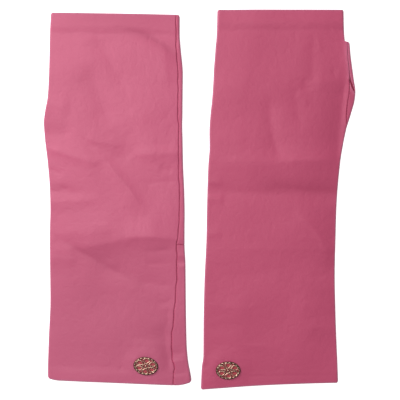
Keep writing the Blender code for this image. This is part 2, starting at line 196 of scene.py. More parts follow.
RIGHT_CREASES = [
    # The broad trough across the wrist: its upper brow, its foot, and the steep end at its right
    (-10, 27, 124, 31, 9, 13, 2, 0.95),
    (-10, 6.5, 124, 3.5, 14, 9, 2, -1.4),
    (48, 10, 124, 3, 3.5, 3.5, 1, -0.38),
    # The U round the base of the thumb, dark outside and lit inside
    (54, 84, 63, 26, 8, 13, 1.2, -1, -3.5),
    (73, 90, 76, 50, 4.5, 6, 2, -0.4),
    (57, 29.5, 112, 31, 7, 5, 1.2, 0.55),
    # The slack beside the thumb slit
    (86, 128, 86, 86, 6, 4, 1, -0.4),
    (84, 90, 116, 89, 6, 9, 1.2, 0.6),
    (112, 104, 104, 22, 2.5, 14, 1.2, -1.3),
    (111.3, 128, 114.8, 70, 1, 3, 0.5, 0.4),
    (80, 94, 82, 82, 3, 3.5, 1, -0.35),
    (90, 126, 92.2, 111.5, 1.3, 1.4, 0.6, 0.2),
    (73, 113, 88, 122, 1.6, 3, 0.8, 0.12),
    (99.5, 99.2, 106, 96.8, 1.4, 1.5, 0.7, -0.22),
    (73, 82, 84, 71, 1.6, 1.8, 0.7, 0.22),
    # The diagonal at the right edge below the wrist, and the dents under it
    (87, -21.5, 100, -44.5, 1.4, 1.6, 0.7, 0.28),
    (72, -6, 108, -46, 6, 6, 1, 0.7),
    (104, -4, 102, -40, 4, 7, 2, -0.8),
    (108, -36, 106, -58, 5, 8, 2, -0.65),
    (8, -37.5, 104, -38, 2, 2, 0.7, 0.15),
    # Left edge
    (0, 13.5, 19, 13, 2.5, 2.5, 1, 0.5),
    (0, 0.5, 20, 0, 3, 2.5, 1, 0.5),
    (-2, -25.5, 18, -26, 3, 3, 1, 0.4),
    (-4, -128, 14, -126, 2.5, 2.5, 1, -0.35),
    (8, 89, 42, 84, 8, 8, 3, 0.3),
    (6, 47, 38, 46, 7, 7, 3, 0.3),
    (3, 26, 16, 27, 1.5, 1.5, 0.8, -0.2),
    # The forearm
    (72, -29, 108, -32, 2.5, 3, 1, 0.22),
    (84, -58, 110, -57, 2.5, 3, 1, -0.25),
    (76, -96, 112, -100, 4, 6, 1.5, 0.35),
    (30, -60, 62, -54, 5, 5, 1.5, -0.18),
    (-2, -80, 44, -84, 5, 4, 1.5, 0.3),
    (-4, -96, 40, -86, 8, 6, 2, 0.22),
    (-4, -104, 40, -106, 6, 8, 2, 0.3),
    (68, -81, 110, -83, 9, 12, 2.5, 0.55),
    (0, -135.5, 124, -133.3, 1.1, 1.3, 0.6, -0.14),
    (26, -110.8, 64, -112.5, 1.4, 1.8, 0.7, 0.18),
]
# The palm side rests on the table, so its creases are shallow dents that go up from it
LEFT_PALM_CREASES = [
    (-116, 40, -66, 29, 6, 5, 1.5, 0.6, 2),
    (-72, 28, -14, 44, 5, 5, 1.5, 0.5, -2, 1),
    (-108, -24, -22, -14, 6, 8, 2, 0.6, 3, 2),
    (-98, 96, -66, 62, 5, 6, 1.5, 0.5, -3),
    (-50, -56, -28, -102, 5, 6, 2, 0.45, 2),
]
RIGHT_PALM_CREASES = [
    (12, 12, 96, 8, 8, 6, 1.5, 0.6, -2, 1.5),
    (62, 88, 98, 40, 6, 5, 1.5, 0.55, 4),
    (26, 58, 50, 26, 5, 5, 1.5, 0.45, 2),
    (18, -42, 92, -58, 6, 7, 2, 0.55, -3, 2),
    (36, -90, 74, -106, 5, 5, 2, 0.4, 1),
]
# Creases of painted shade, each with how much it deepens the colour in place of a height
PAINTED_CREASE_SHADE = [
    (-72, 31, -44, -6, 1.5, 2.5, 0.6, 0.07, 1.5),
    (-76, 131.2, 4, 76, 1.5, 3, 0.6, 0.15, 17.5),
    (-50, 127.4, -18, 108, 1.3, 2.6, 0.6, 0.13, 3),
    (-116, -24.5, -38, -67, 5, 2.5, 0.8, 0.11, -1),
    (50, 78, 61, 26, 1.5, 7, 0.8, 0.08, -3),
    (34, 13, 124, 5, 5, 4.5, 1.2, 0.09),
]
FADE_SHARE = 0.3


def crease_heights(rows, x, y):
    """Height of all creases over the plan. Each is rounded over its crest and then falls off exponentially,
    with its own width on the left and on the right, and fades out over the last part of its length. Its line
    is straight plus a bow, an arch over the whole length, and a sway, an S that is widest at its quarters."""
    height = np.zeros(np.shape(x))
    for crease in (Crease(*row) for row in rows):
        reach = math.hypot(crease.end_x - crease.start_x, crease.end_y - crease.start_y)
        run_x, run_y = (crease.end_x - crease.start_x) / reach, (crease.end_y - crease.start_y) / reach
        share = ((x - crease.start_x) * run_x + (y - crease.start_y) * run_y) / reach
        aside = (y - crease.start_y) * run_x - (x - crease.start_x) * run_y
        along = np.clip(share, 0.0, 1.0)
        aside = aside - crease.bow * 4.0 * along * (1.0 - along) + crease.sway * np.sin(2.0 * math.pi * along)
        width = np.where(aside > 0.0, crease.left_width, crease.right_width)
        fade = smooth_step(share / FADE_SHARE) * smooth_step((1.0 - share) / FADE_SHARE)
        fall = np.sqrt(aside ** 2 + crease.crest ** 2) - crease.crest
        height = height + crease.height * fade * np.exp(-fall / width)
    return height


print("creases:", len(LEFT_CREASES), "left and", len(RIGHT_CREASES), "right on top,",
      len(LEFT_PALM_CREASES) + len(RIGHT_PALM_CREASES), "underneath")

# %% [markdown]
# ## The flattened tube
#
# Cut across, a glove is a flat loop: level underneath, nearly level on top, and turned tightly, as half an
# ellipse, at the two side folds.
#
# A point of the leather is named by its way round that loop, from the left fold over the top, and by its
# place along the glove. That is the flat cut of the panel, so seams and hems are straight lines in it.

# %% One glove's sizes
Glove = namedtuple("Glove", "side centre hand_corners arm_corners arm_bow corner_round corner_rises outline"
                            " left_seam right_seam creases palm_creases thumb_side cross_seam plaque")
LEFT_GLOVE = Glove(
    side="left", centre=-63.33, hand_corners=(142.75, 141.15), arm_corners=(-137.8, -142.3), arm_bow=0.0,
    corner_round=(1.4, 1.4), corner_rises=((1.6, 9.0), (3.1, 13.0)), outline=np.array(LEFT_OUTLINE),
    left_seam=np.array(UNDERNEATH), right_seam=None, creases=LEFT_CREASES, palm_creases=LEFT_PALM_CREASES,
    thumb_side="left", cross_seam=174.6, plaque=(-41.0, -126.7, -8.0))
RIGHT_GLOVE = Glove(
    side="right", centre=55.17, hand_corners=(144.95, 144.95), arm_corners=(-145.2, -139.9), arm_bow=1.1,
    corner_round=(1.2, 1.4), corner_rises=((0.0, 9.0), (0.0, 9.0)), outline=np.array(RIGHT_OUTLINE),
    left_seam=np.array(UNDER_THE_EDGE), right_seam=np.array(THUMB_SEAM), creases=RIGHT_CREASES,
    palm_creases=RIGHT_PALM_CREASES, thumb_side="right", cross_seam=180.0, plaque=(21.7, -130.1, 0.0))
GLOVES = (LEFT_GLOVE, RIGHT_GLOVE)
for glove in GLOVES:
    print(glove.side, "glove:", glove.outline[-1, 0], "mm long, with its middle at", glove.centre, "mm")

# %% [markdown]
# A few small functions read these sizes at any place along the glove: where its sides and seams are, how
# high a side fold stands, and where a hem is turned in. At a hem the leather is double, so its fold is higher
# and reaches further in.

# %% Sides, hems and seams along the glove
HAND_HEM = 14.5
ARM_HEM = 7.0
HEM_STEP = 1.5
SEAM_VIEW = np.array(SEAM_IN_VIEW)
# Height of each sine of a seam's wander, then the sines' lengths over a whole turn and where they start
SEAM_WANDER = 0.085
WANDER_SINES = [(1.45, 0.4), (2.3, 1.9), (3.7, 3.1)]
HAND_SWELL = (9.5, 7.0)
ARM_SWELL = (5.5, 7.0)
FOLD_HALF_HEIGHT = 1.8
HEM_FOLD_HALF_HEIGHT = 2.1
ARM_HEM_SHARE = 0.45
FOLD_REACH = 1.1
HEM_FOLD_REACH = 1.6


def side_edge(glove, side, along):
    """Place of a side fold, measured from the glove's centre line."""
    return through(glove.outline[:, 0], glove.outline[:, 1 if side == "left" else 2], along)


def glove_length(glove):
    """Length of the glove from hem to hem."""
    return glove.outline[-1, 0]


def hem_share(glove, along):
    """1 where the leather is turned in as a hem, 0 where it is single."""
    hand = 1.0 - smooth_step((along - HAND_HEM) / HEM_STEP)
    arm = 1.0 - smooth_step((glove_length(glove) - along - ARM_HEM) / HEM_STEP)
    return np.maximum(hand, arm)


def swell_share(glove, along):
    """1 at a hem and 0 past it, with a soft slope between: how far the outer face is lifted by the hem."""
    hand = 1.0 - smooth_step((along - HAND_SWELL[0]) / HAND_SWELL[1])
    arm = 1.0 - smooth_step((glove_length(glove) - along - ARM_SWELL[0]) / ARM_SWELL[1])
    return np.maximum(hand, ARM_HEM_SHARE * arm)


def fold_half_height(glove, along):
    """Half the height of a side fold, a little more where the hem lies inside it."""
    return FOLD_HALF_HEIGHT + (HEM_FOLD_HALF_HEIGHT - FOLD_HALF_HEIGHT) * swell_share(glove, along)


def fold_reach(glove, along):
    """How far a side fold reaches inwards before the leather is level: less than its half height, because
    the glove has been pressed."""
    return FOLD_REACH + (HEM_FOLD_REACH - FOLD_REACH) * hem_share(glove, along)


def quarter_way(glove, along):
    """Way round a quarter of a side fold, chosen so that past it, way and plan keep one and the same step."""
    return fold_reach(glove, along) + (math.pi / 2 - 1.0) * fold_half_height(glove, along)


def way_over_top(glove, along):
    """Way from the left fold over the top to the right fold: the width, and what both quarters add to it."""
    added = (math.pi - 2.0) * fold_half_height(glove, along)
    return side_edge(glove, "right", along) - side_edge(glove, "left", along) + added


def seam_wander(along):
    """Small unevenness of a sewn line: the sum of three sines, 9 to 23 mm long."""
    return SEAM_WANDER * sum(np.sin(along / length + start) for length, start in WANDER_SINES)


def seam_way(glove, side, along):
    """Way from a side's fold to its seam. A seam given by its place across is measured from the fold in
    plan, and the quarter of the fold adds its share."""
    if side == "right" and glove.right_seam is None:
        across = through(SEAM_VIEW[:, 0], SEAM_VIEW[:, 1], along) + seam_wander(along)
        return side_edge(glove, side, along) - across + (math.pi / 2 - 1.0) * fold_half_height(glove, along)
    rows = glove.left_seam if side == "left" else glove.right_seam
    return through(rows[:, 0], rows[:, 1], along)


print("side folds:", 2 * FOLD_HALF_HEIGHT, "mm high, and", 2 * HEM_FOLD_HALF_HEIGHT, "mm at the hand hems")

# %% [markdown]
# The upper leather lies over a little air and over its own creases. Under the plaque it is pressed level.
# The turned hems lift it a little, with a soft slope where their raw edge lies inside.

# %% Height of the upper leather and the plan of the hems
CROWN = 0.9
CROWN_RISE = 34.0
DEEPEST = 1.6
CORNER_FADE = 22.0
PLAQUE_SEAT = 9.0
PLAQUE_SEAT_FADE = 11.0
PLAQUE_SEAT_TOP = 4.78
WAVE_HEIGHT = 0.09
# Each wave's length across and up over a whole turn, below zero where it leans back, and where it starts
SLACK_WAVES = [(9.3, 10.4, 0.7), (-31.0, 6.5, 2.1), (7.6, -17.0, 4.0)]


def slack_waves(x, y):
    """Long low waves: the sum of three sines that run in different directions, 40 to 44 mm apart."""
    return WAVE_HEIGHT * sum(np.sin(x / across + y / up + start) for across, up, start in SLACK_WAVES)


def top_lift(glove, x, y, along, inset):
    """Height above the folds' own: the crown, the creases and the waves, never deep enough to touch the palm
    side, and a level seat under the plaque."""
    lift = CROWN * smooth_step((inset + CROWN_RISE) / CROWN_RISE / 2.0) * 2.0 - CROWN
    lift = lift + crease_heights(glove.creases, x, y) + slack_waves(x, y)
    lift = np.where(lift < 0.0, -DEEPEST * np.tanh(-lift / DEEPEST), lift)
    away = np.hypot(x - glove.plaque[0], y - glove.plaque[1])
    seat = 1.0 - smooth_step((away - PLAQUE_SEAT) / PLAQUE_SEAT_FADE)
    seat_lift = PLAQUE_SEAT_TOP - 2.0 * fold_half_height(glove, along)
    return lift + (seat_lift - lift) * seat


print("slack waves: up to", len(SLACK_WAVES) * WAVE_HEIGHT, "mm")


def plan_y(glove, across, inset, near_left, along):
    """Place up the plan between the two hems. A hem is a straight line from corner to corner, the arm hem
    with a bow. Towards a side fold it curves away by a parabola, turns a small round corner, and the rows
    behind it follow less and less."""
    hand = glove.hand_corners[0] + (glove.hand_corners[1] - glove.hand_corners[0]) * across
    arm = glove.arm_corners[0] + (glove.arm_corners[1] - glove.arm_corners[0]) * across
    arm = arm + glove.arm_bow * 4.0 * across * (1.0 - across)
    length = glove_length(glove)
    turns = []
    for turn in glove.corner_round:
        off = np.clip(turn - inset, 0.0, turn)
        turns.append(turn - np.sqrt(turn ** 2 - off ** 2))
    rise = np.where(near_left, glove.corner_rises[0][0], glove.corner_rises[1][0])
    reach = np.where(near_left, glove.corner_rises[0][1], glove.corner_rises[1][1])
    arm_turn = turns[1] + rise * np.clip(1.0 - inset / reach, 0.0, 1.0) ** 2
    hand_turn = turns[0] * (1.0 - smooth_step(along / CORNER_FADE))
    arm_turn = arm_turn * (1.0 - smooth_step((length - along) / CORNER_FADE))
    return hand + (arm - hand) * along / length - hand_turn + arm_turn


# %% [markdown]
# Everything that follows asks one question: where in space is this point of the cut? The loop is worked out
# with whole arrays. Within a quarter turn of a side fold the point is on an ellipse, and beyond it on the
# level top or underside. A depth goes straight in through the leather.

# %% From the flat cut to space
CREASE_RISE = 4.5


def fold_place(glove, way, along):
    """Where a point of the cut lies beside its nearer side fold: whether that is the left one, the way from
    the fold, the angle turned, and the inset from the glove's side in plan."""
    over_top, quarter = way_over_top(glove, along), quarter_way(glove, along)
    from_left = np.where(way <= over_top, way, way - 2.0 * over_top)
    from_right = over_top - way
    near_left = np.abs(from_left) < np.abs(from_right)
    fold_way = np.where(near_left, from_left, from_right)
    angle = np.clip(np.abs(fold_way) / quarter, 0.0, 1.0) * math.pi / 2
    past_fold = np.maximum(np.abs(fold_way) - quarter, 0.0)
    inset = fold_reach(glove, along) * (1.0 - np.cos(angle)) + past_fold
    return near_left, fold_way, angle, past_fold, inset


def leather_points(glove, way, along, depth):
    """Points (x, y, z) for ways round the loop and places along the glove, at a depth below the outer face.
    A side fold is half an ellipse, reached by an angle that grows evenly with the way."""
    left, right = side_edge(glove, "left", along), side_edge(glove, "right", along)
    half_height = fold_half_height(glove, along)
    near_left, fold_way, angle, past_fold, inset = fold_place(glove, way, along)
    inward = np.where(near_left, 1.0, -1.0)
    x = np.where(near_left, left, right) + inward * inset
    y = plan_y(glove, (x - left) / (right - left), inset, near_left, along)
    plan_x = x + glove.centre
    dents = crease_heights(glove.palm_creases, plan_x, y) * smooth_step(past_fold / CREASE_RISE)
    rise = np.where(fold_way > 0.0, top_lift(glove, plan_x, y, along, inset) * np.sin(angle), dents)
    x = plan_x + inward * depth * np.cos(angle)
    z = half_height + np.sign(fold_way) * (half_height - depth) * np.sin(angle) + rise
    return np.stack([x, y, z], axis=-1)


for glove in GLOVES:
    round_hand = 2.0 * way_over_top(glove, np.array([0.0]))[0]
    print(glove.side, "glove:", round(float(round_hand)), "mm round the hand opening")

# %% [markdown]
# ## Panels
#
# A panel is a grid over its flat cut. Its outer face rolls down into each seam, so two panels meet in a
# narrow valley, as leather does when it is sewn inside out and turned. A hem or an open lip has no seam to
# roll into, so there both faces bend together into a round edge.
#
# The grid is finer round the folds, edges and hem lines, where the surface turns fastest.

# %% Stops of a grid
FINE_STEPS = 4000
Spot = namedtuple("Spot", "place extra reach")


def spread(start, end, spots, count=None, pitch=None):
    """Stops from start to end, either a count of them or about a pitch apart, crowded round each spot: the
    density is 1 plus a bell curve for every spot, and the stops share its integral equally."""
    fine = np.linspace(start, end, FINE_STEPS)
    density = np.ones(FINE_STEPS)
    for spot in spots:
        density += spot.extra * np.exp(-((fine - spot.place) / spot.reach) ** 2)
    passed = np.concatenate([[0.0], np.cumsum((density[1:] + density[:-1]) / 2.0)])
    if count is None:
        count = max(2, round(passed[-1] * (fine[1] - fine[0]) / pitch) + 1)
    return np.interp(np.linspace(0.0, passed[-1], count), passed, fine)


def stops_through(fixed, spots, pitch):
    """Stops that pass through each fixed place."""
    runs = [spread(start, end, spots, pitch=pitch)[:-1] for start, end in zip(fixed[:-1], fixed[1:])]
    return np.concatenate(runs + [[fixed[-1]]])


EDGE_CROWDING = (11.0, 0.6)
FOLD_CROWDING = (5.0, 2.2)
HEM_CROWDING = (2.0, 1.6)
THUMB_STEP = 21.0
THUMB_CROWDING = (6.0, 5.0)
ROW_PITCH = 1.2
BACK_COLUMNS = 128
PALM_COLUMNS = 84


def row_stops(glove, start, end, fixed=()):
    """Rows along the glove from start to end."""
    length = glove_length(glove)
    steps = [HAND_HEM + HEM_STEP / 2, length - ARM_HEM - HEM_STEP / 2]
    spots = [Spot(place, *EDGE_CROWDING) for place in (start, end, *fixed)]
    spots += [Spot(place, *HEM_CROWDING) for place in steps]
    if glove.thumb_side == "right":
        spots.append(Spot(THUMB_STEP, *THUMB_CROWDING))
    return stops_through([start, *fixed, end], spots, ROW_PITCH)


def column_stops(glove, way_start, way_end, along, count):
    """Ways round the loop for every row: one row of stops for each place along the glove."""
    rows = []
    for start, end, top in zip(way_start, way_end, way_over_top(glove, along)):
        spots = [Spot(place, *EDGE_CROWDING) for place in (start, end)]
        spots += [Spot(place, *FOLD_CROWDING) for place in (0.0, top, 2.0 * top)]
        rows.append(spread(start, end, spots, count=count))
    return np.array(rows)


for glove in GLOVES:
    print(glove.side, "back panel:", len(row_stops(glove, 0.0, glove_length(glove))), "rows")


# %% [markdown]
# The thumb comes out of a stretch of the side seam that is left open. On the right-hand glove it shows: the
# palm's lip lies just outside the back panel's, sags outwards at its lower end, and turns back up to where
# the seam begins again. On the other glove the slit is underneath.

# %% Seams, the thumb slit and rolled edges
SEAM_GAP = 0.13
THUMB_START = 22.5
THUMB_END = 66.0
HIDDEN_SLIT_GAPE = 6.0
SEEN_SLIT_END = 65.0
SEEN_SEAM_START = 54.5
LIP_FADE = 1.5
EDGE_BAND = 0.12
SEAM_ROLL = 0.62
SEAM_DEPTH = 0.26
CROSS_SEAM_FLAT = 0.45
LIP_ROLL = 0.28
LEATHER = 0.8
HEM_LEATHER = 1.5
HEM_ROLL = (HEM_LEATHER - EDGE_BAND) / 2
# How far the palm's lip lies from the back panel's along the slit that shows, and then the sewn strip's width
SLIT_WIDTHS = np.array([
    (0.0, 0.3), (20.0, 0.3), (25.0, 0.2), (35.0, 0.18), (45.0, 0.2), (50.0, 0.34), (53.0, 0.75),
    (56.0, 1.6), (59.0, 2.7), (62.0, 3.9), (65.0, 5.1), (72.0, 5.8), (90.0, 6.0), (180.0, 6.2)])


def slit_share(glove, side, along):
    """1 where this seam is left open for the thumb, 0 where it is sewn."""
    if side != glove.thumb_side:
        return np.zeros(np.shape(along))
    end = SEEN_SEAM_START if side == "right" else THUMB_END
    return smooth_step((along - THUMB_START) / LIP_FADE) * smooth_step((end - along) / LIP_FADE)


def seam_opening(glove, side, along):
    """Way between the two panels at a seam. The hidden thumb slit opens as a lens."""
    gap = np.full(np.shape(along), SEAM_GAP)
    if side == glove.thumb_side == "left":
        share = np.clip((along - THUMB_START) / (THUMB_END - THUMB_START), 0.0, 1.0)
        gap = gap + HIDDEN_SLIT_GAPE * np.sqrt(np.sin(math.pi * share))
    return gap


def valley(distance, open_share):
    """Depth of a panel's face beside a seam: it sinks towards the seam with a smooth slope."""
    return SEAM_DEPTH * (1.0 - open_share) * (1.0 - smooth_step(distance / SEAM_ROLL))


def rolled(distance, radius):
    """Depth of a quarter-round edge: the radius at the edge itself, and nothing from one radius inwards."""
    off = np.clip(radius - distance, 0.0, radius)
    return radius - np.sqrt(np.maximum(radius ** 2 - off ** 2, 0.0))


Edges = namedtuple("Edges", "left right first last first_sewn last_sewn lip")


def edge_depths(glove, along, edges):
    """Depths of the outer and inner faces, from the distances to each edge of the cut. At a seam only the
    outer face rolls. At a hem or a lip both do, from either side."""
    outer, inner = np.zeros(along.shape), np.zeros(along.shape)
    for side, distance in (("left", edges.left), ("right", edges.right)):
        open_share = slit_share(glove, side, along)
        outer = np.maximum(outer, valley(distance, open_share))
        outer = np.maximum(outer, rolled(distance, LIP_ROLL * open_share))
        inner = np.maximum(inner, rolled(distance, LIP_ROLL * open_share))
    for distance, sewn in ((edges.first, edges.first_sewn), (edges.last, edges.last_sewn)):
        outer = np.maximum(outer, valley(distance, CROSS_SEAM_FLAT) if sewn else rolled(distance, HEM_ROLL))
        inner = np.maximum(inner, rolled(distance, 0.0 if sewn else HEM_ROLL))
    if edges.lip is not None:
        outer = np.maximum(outer, rolled(edges.lip, LIP_ROLL))
        inner = np.maximum(inner, rolled(edges.lip, LIP_ROLL))
    wall = LEATHER + (HEM_LEATHER - LEATHER) * hem_share(glove, along)
    return outer, wall - inner


print("thumb slit:", THUMB_END - THUMB_START, "mm long; seams:", SEAM_DEPTH, "mm deep")


# %% [markdown]
# A shell is closed by joining the rims of its two faces. The rim is found from the faces themselves: an edge
# that only one face uses. That works for any cut, also one with a notch.

# %% Closed shells from grids
def new_object(name, mesh, materials):
    """Put a mesh into the scene as an object at the origin."""
    for material in materials:
        mesh.materials.append(material)
    thing = bpy.data.objects.new(name, mesh)
    bpy.context.scene.collection.objects.link(thing)
    return thing


def store(mesh, name, values):
    """Keep one number for each vertex of a mesh, for its material to read."""
    mesh.attributes.new(name, "FLOAT", "POINT").data.foreach_set("value", values.astype(np.float32).ravel())


def shell_mesh(name, outer, inner, kept):
    """A closed shell over a grid of points: outer faces, inner faces turned over, and a wall of faces along
    every rim edge. Returns the mesh and which of the outer grid's points each vertex stands for."""
    count = outer.shape[0] * outer.shape[1]
    index = np.arange(count).reshape(outer.shape[:2])
    corners = [index[:-1, :-1], index[1:, :-1], index[1:, 1:], index[:-1, 1:]]
    quads = np.stack(corners, axis=-1)[kept]
    edges = np.stack([quads, np.roll(quads, -1, axis=1)], axis=-1).reshape(-1, 2)
    forward, backward = edges[:, 0] * count + edges[:, 1], edges[:, 1] * count + edges[:, 0]
    rim = edges[~np.isin(forward, backward)]
    walls = np.stack([rim[:, 1], rim[:, 0], rim[:, 0] + count, rim[:, 1] + count], axis=-1)
    faces = np.concatenate([quads, walls, quads[:, ::-1] + count])
    used, faces = np.unique(faces, return_inverse=True)
    points = np.concatenate([outer.reshape(-1, 3), inner.reshape(-1, 3)])[used] * MM
    mesh = bpy.data.meshes.new(name)
    mesh.from_pydata(points.tolist(), [], faces.reshape(-1, 4).tolist())
    inside = np.arange(len(mesh.polygons)) >= len(quads) + len(walls)
    mesh.polygons.foreach_set("material_index", inside.astype(np.int32))
    mesh.shade_smooth()
    return mesh, used % count


print("a panel's grid:", BACK_COLUMNS, "columns over the back of the hand and", PALM_COLUMNS, "over the palm")

# %% [markdown]
# ## Materials
#
# Every material is a Principled shader with a few nodes in front of it. A colour is given as it is named on
# a colour card, in sRGB hex, and has to be turned into linear light first. Noise and grain are laid out on
# Object coordinates, which are metres here, so a pattern's scale is one over its real size.

# %% Colour and node helpers
def linear_colour(hex_colour):
    """Turn an sRGB hex colour into the linear values that a shader takes."""
    parts = [int(hex_colour[i:i + 2], 16) / 255 for i in (1, 3, 5)]
    return [p / 12.92 if p <= 0.04045 else ((p + 0.055) / 1.055) ** 2.4 for p in parts] + [1.0]


def set_inputs(node, inputs):
    """Set each named socket of a node to a plain value, or link another node's output to it."""
    for socket, value in inputs.items():
        if isinstance(value, bpy.types.NodeSocket):
            node.id_data.links.new(value, node.inputs[socket])
        else:
            node.inputs[socket].default_value = value


def add_node(tree, kind, inputs=(), **settings):
    """Add one node. Settings are its own properties, and inputs give sockets a value or an output."""
    node = tree.nodes.new("ShaderNode" + kind)
    for name, value in settings.items():
        setattr(node, name, value)
    set_inputs(node, dict(inputs))
    return node


MIX_COLOURS = (6, 7)
MIX_RESULT = 2


def colour_between(tree, share, first, second):
    """A colour that runs from the first to the second with the share. A Mix node keeps its colours in its
    seventh and eighth sockets and gives the result at its third output."""
    colours = dict(zip(MIX_COLOURS, (first, second)))
    return add_node(tree, "Mix", {0: share, **colours}, data_type="RGBA").outputs[MIX_RESULT]


def new_material(name, inputs=()):
    """A Principled material with these plain values on its shader's own sockets."""
    material = bpy.data.materials.new(name)
    material.use_nodes = True
    shader = material.node_tree.nodes["Principled BSDF"]
    set_inputs(shader, dict(inputs))
    return material, material.node_tree, shader


print("a mid grey of #808080 is", round(linear_colour("#808080")[0], 3), "in linear light")

# %% [markdown]
# Nappa is full-grain leather, tanned soft, dyed through in a drum and finished with a thin satin coat. Up
# close it has a pebble grain about half a millimetre across, and from a step away only its folds and a soft
# sheen show. The hide takes the dye a little unevenly, and is duller where its pink is deeper. On folds and
# hems a painted sheen turns it greyer, and under the plaques the gold's reflected light is painted on,
# redder.
#
# Three numbers stored on the vertices say how deep the painted shade is, how strong the painted sheen, and
# how strong the painted gold reflection. The grain is drawn at 0.7 mm, a little coarse, so that it still
# shows in a close view.

# %% Nappa leather, drum-dyed and satin-finished
NAPPA_LIGHT = linear_colour("#C95779")
NAPPA_DEEP = linear_colour("#8E1E44")
# Greyer pink of the painted sheen on folds, hems and the slit's lips
NAPPA_PAINTED_SHEEN = linear_colour("#AB6C85")
# Redder brown painted onto the leather under a plaque for the light the gold reflects
NAPPA_GOLD_REFLECTION = linear_colour("#B8403A")
ROUGHNESS_LIGHT = 0.42
ROUGHNESS_DEEP = 0.66
HIDE_PATCH = 38.0 * MM
PATCH_TONE = 0.06
GRAIN_SIZE = 0.7 * MM
GRAIN_BUMP = {"Strength": 0.25, "Distance": 0.05 * MM}
WRINKLES = {"Scale": 1.0 / (5.0 * MM), "Detail": 4.0, "Distortion": 0.6}
WRINKLE_BUMP = {"Strength": 0.5, "Distance": 0.5 * MM}


def nappa_leather():
    """Pink nappa: the colour runs from light to deep by the stored painted shade and a soft noise, and turns
    greyer by the painted sheen and redder by the painted gold reflection. Two bumps give the pebble grain and
    fine wrinkles."""
    material, tree, shader = new_material("nappa_leather_drum_dyed", {"IOR": 1.48})
    place = add_node(tree, "TexCoord").outputs["Object"]
    tone_and_painted_shade, painted_sheen, painted_gold_reflection = [add_node(tree, "Attribute", attribute_name=name).outputs["Fac"]
                          for name in ("tone_and_painted_shade", "painted_sheen", "painted_gold_reflection")]
    patches = add_node(tree, "TexNoise", {"Vector": place, "Scale": 1.0 / HIDE_PATCH, "Detail": 3.0})
    shift = add_node(tree, "MapRange", {"Value": patches.outputs["Fac"], "To Min": -PATCH_TONE,
                                        "To Max": PATCH_TONE})
    # Painted shade from the stored number deepens the pink; the soft noise is the dye's real unevenness
    depth = add_node(tree, "Math", {0: tone_and_painted_shade, 1: shift.outputs["Result"]}, operation="ADD",
                     use_clamp=True).outputs["Value"]
    shaded_pink = colour_between(tree, depth, NAPPA_LIGHT, NAPPA_DEEP)
    # Painted sheen turns the pink greyer
    with_sheen = colour_between(tree, painted_sheen, shaded_pink, NAPPA_PAINTED_SHEEN)
    satin = add_node(tree, "MapRange", {"Value": depth, "To Min": ROUGHNESS_LIGHT, "To Max": ROUGHNESS_DEEP})
    grain = add_node(tree, "TexVoronoi", {"Vector": place, "Scale": 1.0 / GRAIN_SIZE}, feature="SMOOTH_F1")
    wrinkles = add_node(tree, "TexNoise", {"Vector": place, **WRINKLES})
    fine = add_node(tree, "Bump", {"Height": grain.outputs["Distance"], **GRAIN_BUMP})
    coarse = add_node(tree, "Bump", {"Height": wrinkles.outputs["Fac"], "Normal": fine.outputs["Normal"],
                                     **WRINKLE_BUMP})
    # Painted gold reflection turns the pink redder
    set_inputs(shader, {"Base Color": colour_between(tree, painted_gold_reflection, with_sheen, NAPPA_GOLD_REFLECTION),
                        "Roughness": satin.outputs["Result"], "Normal": coarse.outputs["Normal"]})
    return material


NAPPA = nappa_leather()
print("material:", NAPPA.name)


# %% [markdown]
# The inside is the flesh side: matt and slightly fuzzy, which sheen stands for. The thread is a bonded
# polyester dyed to match.

# %% Suede and thread
SUEDE_COLOURS = ("#C0284F", "#DC4F7A")
SUEDE_COAT = {"Roughness": 0.92, "Sheen Weight": 0.25, "Sheen Roughness": 0.6}
NAP_SIZE = 0.8 * MM
NAP_BUMP = {"Strength": 0.4, "Distance": 0.1 * MM}
THREAD_DYE = {"Base Color": linear_colour("#D0406E"), "Roughness": 0.55}
TWIST_SIZE = 0.2 * MM
TWIST_BUMP = {"Strength": 0.3, "Distance": 0.03 * MM}


def suede_flesh_side():
    """The buffed flesh side: a deeper pink with a fine nap."""
    material, tree, shader = new_material("leather_flesh_side_buffed", SUEDE_COAT)
    place = add_node(tree, "TexCoord").outputs["Object"]
    nap = add_node(tree, "TexNoise", {"Vector": place, "Scale": 1.0 / NAP_SIZE, "Detail": 3.0}).outputs["Fac"]
    ramp = add_node(tree, "ValToRGB", {"Fac": nap})
    for stop, colour in zip(ramp.color_ramp.elements, SUEDE_COLOURS):
        stop.color = linear_colour(colour)
    bump = add_node(tree, "Bump", {"Height": nap, **NAP_BUMP})
    set_inputs(shader, {"Base Color": ramp.outputs["Color"], "Normal": bump.outputs["Normal"]})
    return material


def sewing_thread():
    """Bonded polyester thread: a satin strand with a tight twist."""
    material, tree, shader = new_material("polyester_thread_bonded", THREAD_DYE)
    place = add_node(tree, "TexCoord").outputs["Object"]
    twist = add_node(tree, "TexNoise", {"Vector": place, "Scale": 1.0 / TWIST_SIZE})
    bump = add_node(tree, "Bump", {"Height": twist.outputs["Fac"], **TWIST_BUMP})
    set_inputs(shader, {"Normal": bump.outputs["Normal"]})
    return material


SUEDE = suede_flesh_side()
THREAD = sewing_thread()
print("materials:", SUEDE.name, THREAD.name)
